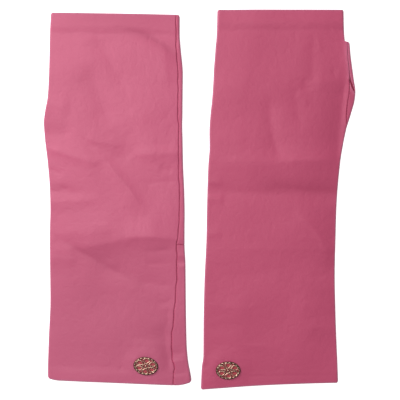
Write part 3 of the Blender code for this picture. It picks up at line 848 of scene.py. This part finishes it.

# %% [markdown]
# ## Painted shade in the leather's colour
#
# A number stored on each vertex deepens the pink: 0 is the lightest and 1 the deepest. Beyond each glove's
# own depth it holds painted shade: broad soft patches where the leather lies turned from the light, and lines
# of it along some creases and in the seams. The rolled lips of the thumb slit get a painted highlight
# instead.

# %% Patches of painted shade
Patch = namedtuple("Patch", "x y half_width half_height amount")
# Each glove's own depth of pink; the right glove's deeper value is painted shade for the light's falloff to
# the right
BASE_TONE = {"left": 0.19, "right": 0.39}
PAINTED_SHADE_PATCHES = [
    # Broad patches of painted shade, where the leather lies turned from the light or further from it
    (-66, -100, 90, 62, 0.13),
    (-28, -110, 14, 26, 0.1),
    (104, 20, 34, 90, 0.12),
    (-63, 139, 70, 8, 0.12),
    (-84, -66, 36, 26, 0.05),
    (-74, 72, 30, 44, 0.04),
    (-50, -41, 36, 10, 0.1),
    (55, 105, 60, 36, 0.04),
    (60, -134, 60, 12, 0.09),
    (55, 10, 80, 11, 0.04),
    # Left glove: painted shade in the hollow over the hand, at the left edge, and beside the pressed fold
    (-89, 90, 9, 8, 0.07),
    (-110.6, 56, 9, 7, 0.07),
    (-107, 10, 12, 3, 0.06),
    (-100, -7.5, 13, 3, 0.05),
    (-107, -48, 10, 9, 0.07),
    # Right glove: the shade beside the slit, and down the right edge
    (101, 66, 8, 22, 0.09),
    (98, -48, 6, 9, 0.08),
    (92, -74.5, 12, 11, 0.05),
    (90, -102, 13, 7, 0.06),
]
# Painted shade in the seam valleys, stronger and weaker along each seam by two sines
SEAM_PAINTED_SHADE = 0.36
SEAM_SHADE_REACH = 0.5
SEAM_PULL = 0.4
PULL_SINES = [(2.9, 0.5), (7.3, 1.2)]
# Painted highlight on the rolled lips of the thumb slit: a lighter, greyer pink
LIP_REACH = 1.6
LIP_PAINTED_HIGHLIGHT = 0.4


def lip_highlight_share(glove, along, edges):
    """1 on the rolled lips of the thumb slit, falling off as a bell curve: where the roll gets a painted
    highlight.
    """
    share = np.zeros(along.shape)
    for side, distance in (("left", edges.left), ("right", edges.right)):
        share = np.maximum(share, slit_share(glove, side, along) * np.exp(-(distance / LIP_REACH) ** 2))
    if edges.lip is not None:
        share = np.maximum(share, np.exp(-(edges.lip / LIP_REACH) ** 2))
    return share


def tone_with_painted_shade(glove, points, edge_distance, lip):
    """Depth of pink at each point: the glove's own, plus painted shade as a bell curve for every patch, along
    the creases of painted shade and in the seams, the seams more where they pull, and less under the painted
    highlight on the slit's lips."""
    tone_and_painted_shade = np.full(points.shape[:-1], BASE_TONE[glove.side])
    # Broad patches of painted shade
    for patch in (Patch(*row) for row in PAINTED_SHADE_PATCHES):
        off = ((points[..., 0] - patch.x) / patch.half_width) ** 2
        off += ((points[..., 1] - patch.y) / patch.half_height) ** 2
        tone_and_painted_shade += patch.amount * np.exp(-off)
    # Painted shade along creases that run with the light
    tone_and_painted_shade += crease_heights(PAINTED_CREASE_SHADE, points[..., 0], points[..., 1])
    first, second = [np.sin(points[..., 1] / length + start) for length, start in PULL_SINES]
    pull = 1.0 + SEAM_PULL * first * second
    # Painted shade in the seams, none on the slit's lips
    tone_and_painted_shade += SEAM_PAINTED_SHADE * pull * (1.0 - lip) * np.exp(-(edge_distance / SEAM_SHADE_REACH) ** 2)
    # Painted highlight on the lips of the thumb slit
    return tone_and_painted_shade - LIP_PAINTED_HIGHLIGHT * lip


print("patches of tone:", len(PAINTED_SHADE_PATCHES), "and deeper creases:", len(PAINTED_CREASE_SHADE))

# %% [markdown]
# A painted sheen, a greyer pink, stands for the light the leather reflects where it turns away: on the side
# folds, on the turned edges of the hems, on the slit's lips and, on the left glove, all over and more towards
# the arm hem. Under a plaque the leather is painted redder for the light that the gold reflects onto it.

# %% Painted sheen and painted gold reflection
# Painted sheen: on the whole left glove, more towards its arm hem, and across every fold and hem edge
BASE_PAINTED_SHEEN = {"left": 0.1, "right": 0.0}
ARM_SHEEN_REACH = 110.0
FOLD_PAINTED_SHEEN = 0.8
FOLD_SHEEN_REACH = 0.75
# Painted sheen on the lips of the thumb slit
LIP_PAINTED_SHEEN = 0.35
HALF_LENGTH = 9.5
HALF_WIDTH = 6.8
# Painted reflection of the gold on the leather under a plaque
GOLD_REFLECTION = 0.7
GOLD_REFLECTION_FADE = 0.15


def painted_edge_sheen(glove, way, along, edge_distance):
    """How much painted sheen: the glove's own with a bell curve towards the arm hem, less in the seams, and
    another bell curve across each side fold and each hem's edge."""
    inset = fold_place(glove, way, along)[-1]
    to_arm = glove_length(glove) - along
    nearest = np.minimum(inset, np.minimum(along, to_arm))
    base = BASE_PAINTED_SHEEN[glove.side] * (1.0 + np.exp(-(to_arm / ARM_SHEEN_REACH) ** 2))
    base = base * (1.0 - np.exp(-(edge_distance / SEAM_SHADE_REACH) ** 2))
    return base + (FOLD_PAINTED_SHEEN - base) * np.exp(-(nearest / FOLD_SHEEN_REACH) ** 2)


def gold_reflection_share(glove, points):
    """Where the gold's reflected light is painted onto the leather under the plaque: full within its oval,
    none past the rim.
    """
    x, y, turn = glove.plaque
    turn = math.radians(turn)
    off_x, off_y = points[..., 0] - x, points[..., 1] - y
    long_way = (off_x * math.cos(turn) + off_y * math.sin(turn)) / HALF_LENGTH
    short_way = (off_y * math.cos(turn) - off_x * math.sin(turn)) / HALF_WIDTH
    return GOLD_REFLECTION * smooth_step((1.0 - np.hypot(long_way, short_way)) / GOLD_REFLECTION_FADE)


print("tarnish under a plaque of", 2 * HALF_LENGTH, "by", 2 * HALF_WIDTH, "mm")


# %% [markdown]
# ## Cutting the panels
#
# The back panel runs from seam to seam over the top. Each palm piece takes the rest of the loop.


def finish_panel(glove, name, way, along, edges, kept, replaced):
    """Make a panel's shell, ride it on the body and let it stand for its CAD node."""
    outer_depth, inner_depth = edge_depths(glove, along, edges)
    outer = leather_points(glove, way, along, outer_depth)
    inner = leather_points(glove, way, along, inner_depth)
    mesh, grid_point = shell_mesh(name, outer, inner, kept)
    nearest = np.minimum.reduce([edges.left, edges.right, *([edges.last] if edges.last_sewn else []),
                                 *([edges.first] if edges.first_sewn else [])])
    lip = lip_highlight_share(glove, along, edges)
    # Painted shade and highlight, over each glove's own depth of pink
    store(mesh, "tone_and_painted_shade", tone_with_painted_shade(glove, outer, nearest, lip).ravel()[grid_point])
    # Painted sheen on folds, hem edges and the slit's lips
    store(mesh, "painted_sheen", np.maximum(painted_edge_sheen(glove, way, along, nearest), LIP_PAINTED_SHEEN * lip).ravel()[grid_point])
    # Painted reflection of the gold under the plaque, on the back panel
    if "back" in name:
        store(mesh, "painted_gold_reflection", gold_reflection_share(glove, outer).ravel()[grid_point])
    panel = new_object(name, mesh, [NAPPA, SUEDE])
    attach(panel, BODY)
    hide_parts(replaced)
    return panel


def back_panel(glove):
    """The panel over the back of the hand, from the left seam over the top to the right one."""
    length = glove_length(glove)
    rows = row_stops(glove, 0.0, length)
    start = seam_way(glove, "left", rows)
    end = way_over_top(glove, rows) - seam_way(glove, "right", rows)
    way = column_stops(glove, start, end, rows, BACK_COLUMNS)
    along = np.repeat(rows[:, None], BACK_COLUMNS, axis=1)
    edges = Edges(way - start[:, None], end[:, None] - way, along, length - along, False, False, None)
    kept = np.ones((len(rows) - 1, BACK_COLUMNS - 1), bool)
    node = glove.side + "_back_panel"
    return finish_panel(glove, glove.side + "_back_leather", way, along, edges, kept, node)


for glove in GLOVES:
    back_panel(glove)

# %% [markdown]
# The palm piece beside the thumb slit that shows needs a notch. The grid has an extra strip of columns
# between the slit's palm lip and the seam. Rows of that strip are left out along the slit, and below it they
# lean, so that its free upper edge runs back up to the start of the seam.

# %% The strip beside the thumb slit
STRIP_COLUMNS = 12
STRIP_CROWDING = 1.6
STRIP_LEAN_FADE = 12.0
LIP_SAMPLES = 260
# Places nearer than this are one and the same
SAME_PLACE = 0.001


def strip_way(glove, along, share):
    """Way round the loop in the strip: share 0 is at the seam, and share 1 at the palm's lip."""
    width = through(SLIT_WIDTHS[:, 0], SLIT_WIDTHS[:, 1], along)
    seam = way_over_top(glove, along) - seam_way(glove, "right", along)
    return seam + SEAM_GAP + (width - SEAM_GAP) * share


def strip_grid(glove, rows):
    """Ways and places of the strip's columns. Below the slit a row starts higher up at the seam."""
    share = np.linspace(0.0, 1.0, STRIP_COLUMNS + 1)[None, :-1] ** STRIP_CROWDING
    below = np.maximum(rows - SEEN_SLIT_END, 0.0)
    lean = (SEEN_SLIT_END - SEEN_SEAM_START) * np.exp(-below / STRIP_LEAN_FADE)
    lean = np.where(rows < SEEN_SLIT_END - SAME_PLACE, 0.0, lean)
    along = rows[:, None] - lean[:, None] * (1.0 - share)
    return strip_way(glove, along, share), along


def slit_outline(glove):
    """Points round the free edge of the palm at the slit, as (way from the fold, along)."""
    lip = np.linspace(THUMB_START, SEEN_SLIT_END, LIP_SAMPLES)
    lip_way = strip_way(glove, lip, 1.0) - way_over_top(glove, lip)
    share = np.linspace(1.0, 0.0, LIP_SAMPLES // 4)
    slant = SEEN_SEAM_START + (SEEN_SLIT_END - SEEN_SEAM_START) * share
    slant_way = strip_way(glove, slant, share) - way_over_top(glove, slant)
    return np.concatenate([np.stack([lip_way, lip], -1), np.stack([slant_way, slant], -1)])


def distance_to(outline, way, along):
    """Distance in the flat cut from every grid point to the nearest point of an outline."""
    nearest = np.full(way.shape, np.inf)
    for edge_way, edge_along in outline:
        nearest = np.minimum(nearest, (way - edge_way) ** 2 + (along - edge_along) ** 2)
    return np.sqrt(nearest)


print("free edge of the slit:", len(slit_outline(RIGHT_GLOVE)), "points")

# %% [markdown]
# Every other palm piece is a plain grid from seam to seam, round under the glove. The hand piece and the arm
# piece meet at the cross seam over the wrist.

# %% Palm panels
def palm_panel(glove, part, start_along, end_along):
    """One palm piece, from the right seam under the glove to the left one."""
    notched = glove.thumb_side == "right" and part == "hand"
    rows = row_stops(glove, start_along, end_along, (THUMB_START, SEEN_SLIT_END) if notched else ())
    over_top = way_over_top(glove, rows)
    seam = over_top - seam_way(glove, "right", rows) + SEAM_GAP
    start = strip_way(glove, rows, 1.0) if notched else seam
    end = 2.0 * over_top + seam_way(glove, "left", rows) - seam_opening(glove, "left", rows)
    way = column_stops(glove, start, end, rows, PALM_COLUMNS)
    along = np.repeat(rows[:, None], PALM_COLUMNS, axis=1)
    kept = np.ones((len(rows) - 1, PALM_COLUMNS - 1), bool)
    lip = None
    if notched:
        extra_way, extra_along = strip_grid(glove, rows)
        way, along = np.hstack([extra_way, way]), np.hstack([extra_along, along])
        slit_rows = (rows[:-1] >= THUMB_START) & (rows[1:] <= SEEN_SLIT_END)
        kept = np.hstack([np.repeat(~slit_rows[:, None], STRIP_COLUMNS, axis=1), kept])
        lip = distance_to(slit_outline(glove), way - way_over_top(glove, along), along)
    to_right = np.abs(way - (way_over_top(glove, along) - seam_way(glove, "right", along) + SEAM_GAP))
    hand_piece = part == "hand"
    edges = Edges(end[:, None] - way, to_right, along - start_along, end_along - along,
                  not hand_piece, hand_piece, lip)
    node = glove.side + "_palm_" + part + "_panel"
    return finish_panel(glove, glove.side + "_palm_" + part + "_leather", way, along, edges, kept, node)


for glove in GLOVES:
    half_gap = SEAM_GAP / 2
    palm_panel(glove, "hand", 0.0, glove.cross_seam - half_gap)
    palm_panel(glove, "arm", glove.cross_seam + half_gap, glove_length(glove))

# %% [markdown]
# ## Stitches
#
# The panels are sewn right sides together, 4 or 5 stitches to the centimetre, and turned. What shows at the
# bottom of the valley is the thread that bridges it. Every stitch is the same short bent bar, set on the
# seam with the surface's own directions: across it, along it and out of it.

# %% One stitch after another
STITCH_HALF_SPAN = 0.42
STITCH_DEPTH = 0.27
THREAD_RADIUS = 0.16
STITCH_ARCH = 0.1
STITCH_TAPER = 0.92
STITCH_RINGS = 6
STITCH_SIDES = 6
PROBE = 0.3


def unit(vectors):
    """Vectors cut to length one."""
    return vectors / np.linalg.norm(vectors, axis=-1, keepdims=True)


def surface_direction(glove, way, along, way_step, along_step):
    """Direction in space in which the outer face runs for a small step either way in the cut."""
    ahead = leather_points(glove, way + way_step, along + along_step, 0.0)
    return unit(ahead - leather_points(glove, way - way_step, along - along_step, 0.0))


def tube_faces(rings, sides, first, closed):
    """Quads of one tube whose points run ring by ring, starting at each of the first indices."""
    ring = np.arange(rings if closed else rings - 1)[:, None]
    side = np.arange(sides)[None, :]
    after, turn = (ring + 1) % rings, (side + 1) % sides
    corners = [ring * sides + side, ring * sides + turn, after * sides + turn, after * sides + side]
    quads = np.stack(np.broadcast_arrays(*corners), axis=-1).reshape(-1, 4)
    return (np.asarray(first)[:, None, None] + quads).reshape(-1, 4)


def stitch_row(name, glove, way, along, across_is_way):
    """Stitches at points of the cut. A stitch is a tube over an arch: its ends are narrowed and sink in."""
    centre = leather_points(glove, way, along, STITCH_DEPTH)
    round_loop = surface_direction(glove, way, along, PROBE, 0.0)
    down_glove = surface_direction(glove, way, along, 0.0, PROBE)
    outward = unit(np.cross(down_glove, round_loop))
    across, ahead = (round_loop, down_glove) if across_is_way else (down_glove, -round_loop)
    t = np.linspace(-1.0, 1.0, STITCH_RINGS)[None, :, None, None]
    angle = np.linspace(0.0, 2.0 * math.pi, STITCH_SIDES, endpoint=False)[None, None, :, None]
    reach = THREAD_RADIUS * np.sqrt(1.0 - STITCH_TAPER * t ** 4)
    spine = across[:, None, None, :] * STITCH_HALF_SPAN * t
    spine = spine + outward[:, None, None, :] * STITCH_ARCH * (1.0 - 2.0 * t ** 2)
    ring = outward[:, None, None, :] * np.cos(angle) + ahead[:, None, None, :] * np.sin(angle)
    points = (centre[:, None, None, :] + spine + reach * ring).reshape(-1, 3) * MM
    first = np.arange(len(way)) * STITCH_RINGS * STITCH_SIDES
    quads = tube_faces(STITCH_RINGS, STITCH_SIDES, first, False).tolist()
    cap = np.arange(STITCH_SIDES)
    near = (first[:, None] + cap[None, ::-1]).tolist()
    far = (first[:, None] + (STITCH_RINGS - 1) * STITCH_SIDES + cap[None, :]).tolist()
    mesh = bpy.data.meshes.new(name)
    mesh.from_pydata(points.tolist(), [], quads + near + far)
    mesh.shade_smooth()
    row = new_object(name, mesh, [THREAD])
    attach(row, BODY)
    print(name, len(way), "stitches")
    return row


print("a stitch:", 2 * STITCH_HALF_SPAN, "mm across the seam, in thread", 2 * THREAD_RADIUS, "mm thick")

# %% [markdown]
# The rows follow the seams' own lines in the flat cut: two down the sides of each glove, with none in the
# thumb slit, and one across its palm side over the wrist.

# %% Rows of stitches
STITCH_PITCH = 2.2


def side_seam_stitches(glove, side):
    """Stitches down one side seam, none in the thumb slit."""
    along = np.arange(STITCH_PITCH, glove_length(glove) - STITCH_PITCH, STITCH_PITCH)
    along = along[slit_share(glove, side, along) == 0.0]
    over_top = way_over_top(glove, along)
    seam = seam_way(glove, side, along) - SEAM_GAP / 2
    way = over_top - seam if side == "right" else 2.0 * over_top + seam
    return stitch_row(glove.side + "_glove_" + side + "_seam_stitches", glove, way, along, True)


def cross_seam_stitches(glove):
    """Stitches across the palm side over the wrist."""
    place = np.array([glove.cross_seam])
    over_top = float(way_over_top(glove, place)[0])
    start = over_top - float(seam_way(glove, "right", place)[0])
    end = 2.0 * over_top + float(seam_way(glove, "left", place)[0])
    way = np.arange(start + STITCH_PITCH, end - STITCH_PITCH, STITCH_PITCH)
    along = np.full(way.shape, glove.cross_seam)
    return stitch_row(glove.side + "_glove_cross_seam_stitches", glove, way, along, False)


stitches = {}
for glove in GLOVES:
    stitches[glove.side] = [side_seam_stitches(glove, side) for side in ("left", "right")]
    stitches[glove.side].append(cross_seam_stitches(glove))

# %% [markdown]

# %% [markdown]
# ## The plaques
#
# Each plaque is a small oval cast in brass, polished and flashed with pale gold, with dark metal left in its
# hollows. A stored number darkens it there, and also paints every wire with a bright highlight along its top
# and painted shade down its sides.

# %% Gilded cast metal
PALE_GOLD = linear_colour("#E4BDA6")
# Dark oxide of the hollows, also painted as shade on the sides of every wire
DARK_GOLD = linear_colour("#3C160A")
POLISHED_ROUGHNESS = 0.2
PATINA_ROUGHNESS = 0.6
CASTING_SIZE = 0.5 * MM
CASTING_BUMP = {"Strength": 0.2, "Distance": 0.03 * MM}


def gilded_cast_metal():
    """Polished pale gold that turns dark brown by the stored number: dark oxide in the hollows and painted
    shade on the sides of every wire.
    """
    material, tree, shader = new_material("brass_cast_gilded", {"Metallic": 1.0})
    place = add_node(tree, "TexCoord").outputs["Object"]
    oxide_and_painted_shade = add_node(tree, "Attribute", attribute_name="oxide_and_painted_shade").outputs["Fac"]
    rough = add_node(tree, "MapRange", {"Value": oxide_and_painted_shade, "To Min": POLISHED_ROUGHNESS,
                                        "To Max": PATINA_ROUGHNESS})
    casting = add_node(tree, "TexNoise", {"Vector": place, "Scale": 1.0 / CASTING_SIZE})
    bump = add_node(tree, "Bump", {"Height": casting.outputs["Fac"], **CASTING_BUMP})
    set_inputs(shader, {"Base Color": colour_between(tree, oxide_and_painted_shade, PALE_GOLD, DARK_GOLD),
                        "Roughness": rough.outputs["Result"], "Normal": bump.outputs["Normal"]})
    return material


GOLD = gilded_cast_metal()
print("material:", GOLD.name)

# %% [markdown]
# The openwork is a plain six-petalled rosette: a beaded rim with a thin dark ring outside it, painted
# shadow round the plaque's edge, a wire round every petal, and a domed middle with a collar. Every wire is a
# tube carried along a closed path, flattened a little as a casting is, so one function makes them all. The
# dome is a stack of rings.

# %% Wires, beads and a dome
WIRE_LEVEL = 5.4
FLATNESS = 0.8
BEAD_ROUNDNESS = 0.6
# Painted highlight along the top of a wire or the dome, fading into painted shade on its sides
BRIGHT_TOP = 0.98
WIRE_SHADING = 0.3
DOME_SHADING = 0.5
MIDDLE_RADIUS = 0.85
MIDDLE_LIFT = 0.25
MIDDLE_RINGS = 9
MIDDLE_SIDES = 16
# A wire's last number is the least darkness all over it, used only as painted shadow
Wire = namedtuple("Wire", "radius sides swell beads patina")


def whole_turn(count):
    """Angles evenly round a whole turn, without its end."""
    return np.linspace(0.0, 2.0 * math.pi, count, endpoint=False)


def wire_loop(path, wire):
    """Points of a wire along a closed path: flattened rings across the path, which swell into beads along
    it. Also how dark each point is painted, 0 for a painted highlight on top and 1 for painted shade and
    oxide at the sides and below, and nowhere less than the wire's own painted shade."""
    forward = unit(np.roll(path, -1, axis=0) - np.roll(path, 1, axis=0))
    aside = unit(np.cross([0.0, 0.0, 1.0], forward))
    up = np.cross(forward, aside)[:, None, :] * FLATNESS
    angle = whole_turn(wire.sides)[None, :]
    passed = whole_turn(len(path))[:, None]
    bulge = np.abs(np.cos(wire.beads * passed / 2.0)) ** BEAD_ROUNDNESS
    reach = wire.radius * (1.0 - wire.swell + wire.swell * bulge)
    ring = aside[:, None, :] * np.cos(angle)[..., None] + up * np.sin(angle)[..., None]
    oxide_and_painted_shade = smooth_step((BRIGHT_TOP - np.sin(angle) * reach / wire.radius) / WIRE_SHADING)
    points = path[:, None, :] + reach[..., None] * ring
    return points.reshape(-1, 3), np.maximum(oxide_and_painted_shade, wire.patina).ravel()


def dome():
    """Points of the round middle between its two poles, as rings that shrink towards them."""
    rise = np.linspace(-0.5 * math.pi, 0.5 * math.pi, MIDDLE_RINGS + 2)[1:-1, None]
    turn = whole_turn(MIDDLE_SIDES)[None, :]
    level = np.sin(rise) + 0.0 * turn
    shape = np.stack([np.cos(rise) * np.cos(turn), np.cos(rise) * np.sin(turn), FLATNESS * level], axis=-1)
    # Painted highlight on the dome's top, painted shade round its sides
    oxide_and_painted_shade = smooth_step((BRIGHT_TOP - level) / DOME_SHADING)
    centre = np.array([0.0, 0.0, WIRE_LEVEL + MIDDLE_LIFT])
    return (centre + MIDDLE_RADIUS * shape).reshape(-1, 3), oxide_and_painted_shade.ravel()


print("dome:", MIDDLE_RINGS, "rings of", MIDDLE_SIDES, "points")

# %% [markdown]
# The rosette is put together round the origin, its wires touching where a casting's would be one. Then it is
# turned and moved to its seat, and its numbers go into the mesh, so the object itself stays at the origin.

# %% The rosettes on their seats
PETALS = 6
PETAL_INNER = 0.28
PETAL_OUTER = 0.83
PETAL_HALF_ANGLE = 0.48
PETAL_TAPER = 0.45
PETAL_SLOPE = 0.25
PETAL_POINTS = 48
PETAL_WIRE = Wire(0.36, 10, 0.0, 0, 0.0)
# Oval wires: share of the plaque's size, height above the wires' own level, points round it, and the wire
OVAL_WIRES = {
    "rim": (0.89, 0.1, 240, Wire(0.54, 12, 0.42, 18, 0.0)),
    # A dark wire round the rim that stands in for the shadow at the plaque's edge: painted shadow
    "painted_shadow_flange": (0.96, -0.1, 160, Wire(0.28, 10, 0.0, 0, 0.85)),
    "collar": (0.24, 0.3, 64, Wire(0.34, 10, 0.35, PETALS, 0.0)),
}


def on_plaque(share, angle, lift):
    """Points of the plaque's oval: at a share of its size, in a direction, lifted off the wires' level."""
    across, up = HALF_LENGTH * share * np.cos(angle), HALF_WIDTH * share * np.sin(angle)
    return np.stack([across, up, WIRE_LEVEL + lift + 0.0 * angle], axis=-1)


def petal_path(index):
    """A petal: an egg-shaped loop between the middle and the rim, narrower towards the middle."""
    turn = whole_turn(PETAL_POINTS)
    radial = (PETAL_OUTER + PETAL_INNER) / 2 + (PETAL_OUTER - PETAL_INNER) / 2 * np.cos(turn)
    angle = (index + 0.5) * 2.0 * math.pi / PETALS
    angle = angle + PETAL_HALF_ANGLE * np.sin(turn) * (1.0 - PETAL_TAPER * (1.0 - radial))
    return on_plaque(radial, angle, PETAL_SLOPE * (1.0 - radial))


def rosette():
    """Points, recesses and faces of the whole openwork, level and round the origin."""
    ovals = {name: (on_plaque(share, whole_turn(count), lift), wire)
             for name, (share, lift, count, wire) in OVAL_WIRES.items()}
    petals = [(petal_path(index), PETAL_WIRE) for index in range(PETALS)]
    points, oxide_and_painted_shade, faces, total = [], [], [], 0
    for path, wire in [ovals["rim"], ovals["painted_shadow_flange"], *petals, ovals["collar"]]:
        ring_points, ring_oxide_and_shade = wire_loop(path, wire)
        points.append(ring_points)
        oxide_and_painted_shade.append(ring_oxide_and_shade)
        faces += tube_faces(len(path), wire.sides, [total], True).tolist()
        total += len(ring_points)
    middle, middle_oxide_and_shade = dome()
    faces += tube_faces(MIDDLE_RINGS, MIDDLE_SIDES, [total], False).tolist()
    cap = np.arange(MIDDLE_SIDES) + total
    faces += [cap[::-1].tolist(), (cap + (MIDDLE_RINGS - 1) * MIDDLE_SIDES).tolist()]
    return np.concatenate(points + [middle]), np.concatenate(oxide_and_painted_shade + [middle_oxide_and_shade]), faces


def plaque(glove):
    """The rosette as one mesh, turned and set on its seat."""
    points, oxide_and_painted_shade, faces = rosette()
    x, y, turn = glove.plaque
    cos, sin = math.cos(math.radians(turn)), math.sin(math.radians(turn))
    across, up, level = points.T
    placed = np.stack([x + across * cos - up * sin, y + across * sin + up * cos, level], axis=-1)
    name = glove.side + "_openwork_plaque"
    mesh = bpy.data.meshes.new(name)
    mesh.from_pydata((placed * MM).tolist(), [], faces)
    # Dark oxide in the hollows, with a painted highlight and painted shade round every wire
    store(mesh, "oxide_and_painted_shade", oxide_and_painted_shade)
    mesh.shade_smooth()
    plate = new_object(name, mesh, [GOLD])
    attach(plate, BODY)
    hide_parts(glove.side + "_plaque")
    print(name, len(mesh.polygons), "faces")


for glove in GLOVES:
    plaque(glove)

# %% [markdown]
# ## Studio
#
# The gloves lie on seamless white and are seen from straight above. A large soft light stands at the top
# left, low enough to model the creases. A wide one near overhead, a weak one at the arm hems and one low at
# the right fill their shaded sides.

# %% Floor and lights
WHITE = (1.0, 1.0, 1.0, 1.0)
PAPER_GREY = (0.5, 0.5, 0.5, 1.0)
PAPER = {"Base Color": PAPER_GREY, "Roughness": 0.8, "Emission Color": WHITE, "Emission Strength": 0.95}
PAPER_HALF = 3.0
PAPER_LEVEL = -0.05 * MM
# Each light's place and size in metres, and its power in watts
LIGHTS = {
    "key_light": ((-1.38, 1.12, 0.95), 0.55, 34.6),
    "top_light": ((-0.35, 0.32, 1.25), 0.8, 8.2),
    "fill_light": ((-0.6, -1.2, 1.0), 0.9, 3.0),
    "side_light": ((1.5, 0.2, 0.5), 0.8, 3.2),
}
AIR = {"Color": WHITE, "Strength": 0.2}


def studio_floor():
    """A wide sheet of seamless paper, lit from within a little so that it stays white."""
    material = new_material("paper_seamless_white", PAPER)[0]
    mesh = bpy.data.meshes.new("studio_floor")
    corners = [(x * PAPER_HALF, y * PAPER_HALF, PAPER_LEVEL) for x, y in ((-1, -1), (1, -1), (1, 1), (-1, 1))]
    mesh.from_pydata(corners, [], [(0, 1, 2, 3)])
    new_object("studio_floor", mesh, [material])


def soft_light(name, place, size, power):
    """A square area light that looks at the middle of the pair."""
    data = bpy.data.lights.new(name, "AREA")
    data.size = size
    data.energy = power
    light = bpy.data.objects.new(name, data)
    bpy.context.scene.collection.objects.link(light)
    light.location = place
    light.rotation_euler = (-light.location).to_track_quat("-Z", "Y").to_euler()
    print(name, power, "W")


studio_floor()
for name, row in LIGHTS.items():
    soft_light(name, *row)
world = bpy.data.worlds.new("studio_air")
world.use_nodes = True
set_inputs(world.node_tree.nodes["Background"], AIR)
bpy.context.scene.world = world
bpy.context.scene.view_settings.view_transform = "Standard"

# %% [markdown]
# The camera's distance follows from the size of a pixel on the gloves and the length of the lens. A long lens
# from far away shows their sides and tops in one scale.

# %% Camera
PIXEL = 0.7646
PICTURE = 400
PICTURE_CENTRE = (0.31, -0.28)
OUTLINE_LEVEL = 1.8
LENS = 100.0
SENSOR = 36.0


def look_down():
    """A camera straight above, as far away as the lens needs for the picture's width at the outline."""
    data = bpy.data.cameras.new("camera")
    data.lens = LENS
    data.sensor_width = SENSOR
    camera = bpy.data.objects.new("camera", data)
    bpy.context.scene.collection.objects.link(camera)
    distance = PIXEL * PICTURE * LENS / SENSOR
    camera.location = (PICTURE_CENTRE[0] * MM, PICTURE_CENTRE[1] * MM, (distance + OUTLINE_LEVEL) * MM)
    bpy.context.scene.camera = camera
    print("camera", round(distance), "mm above the gloves")


look_down()
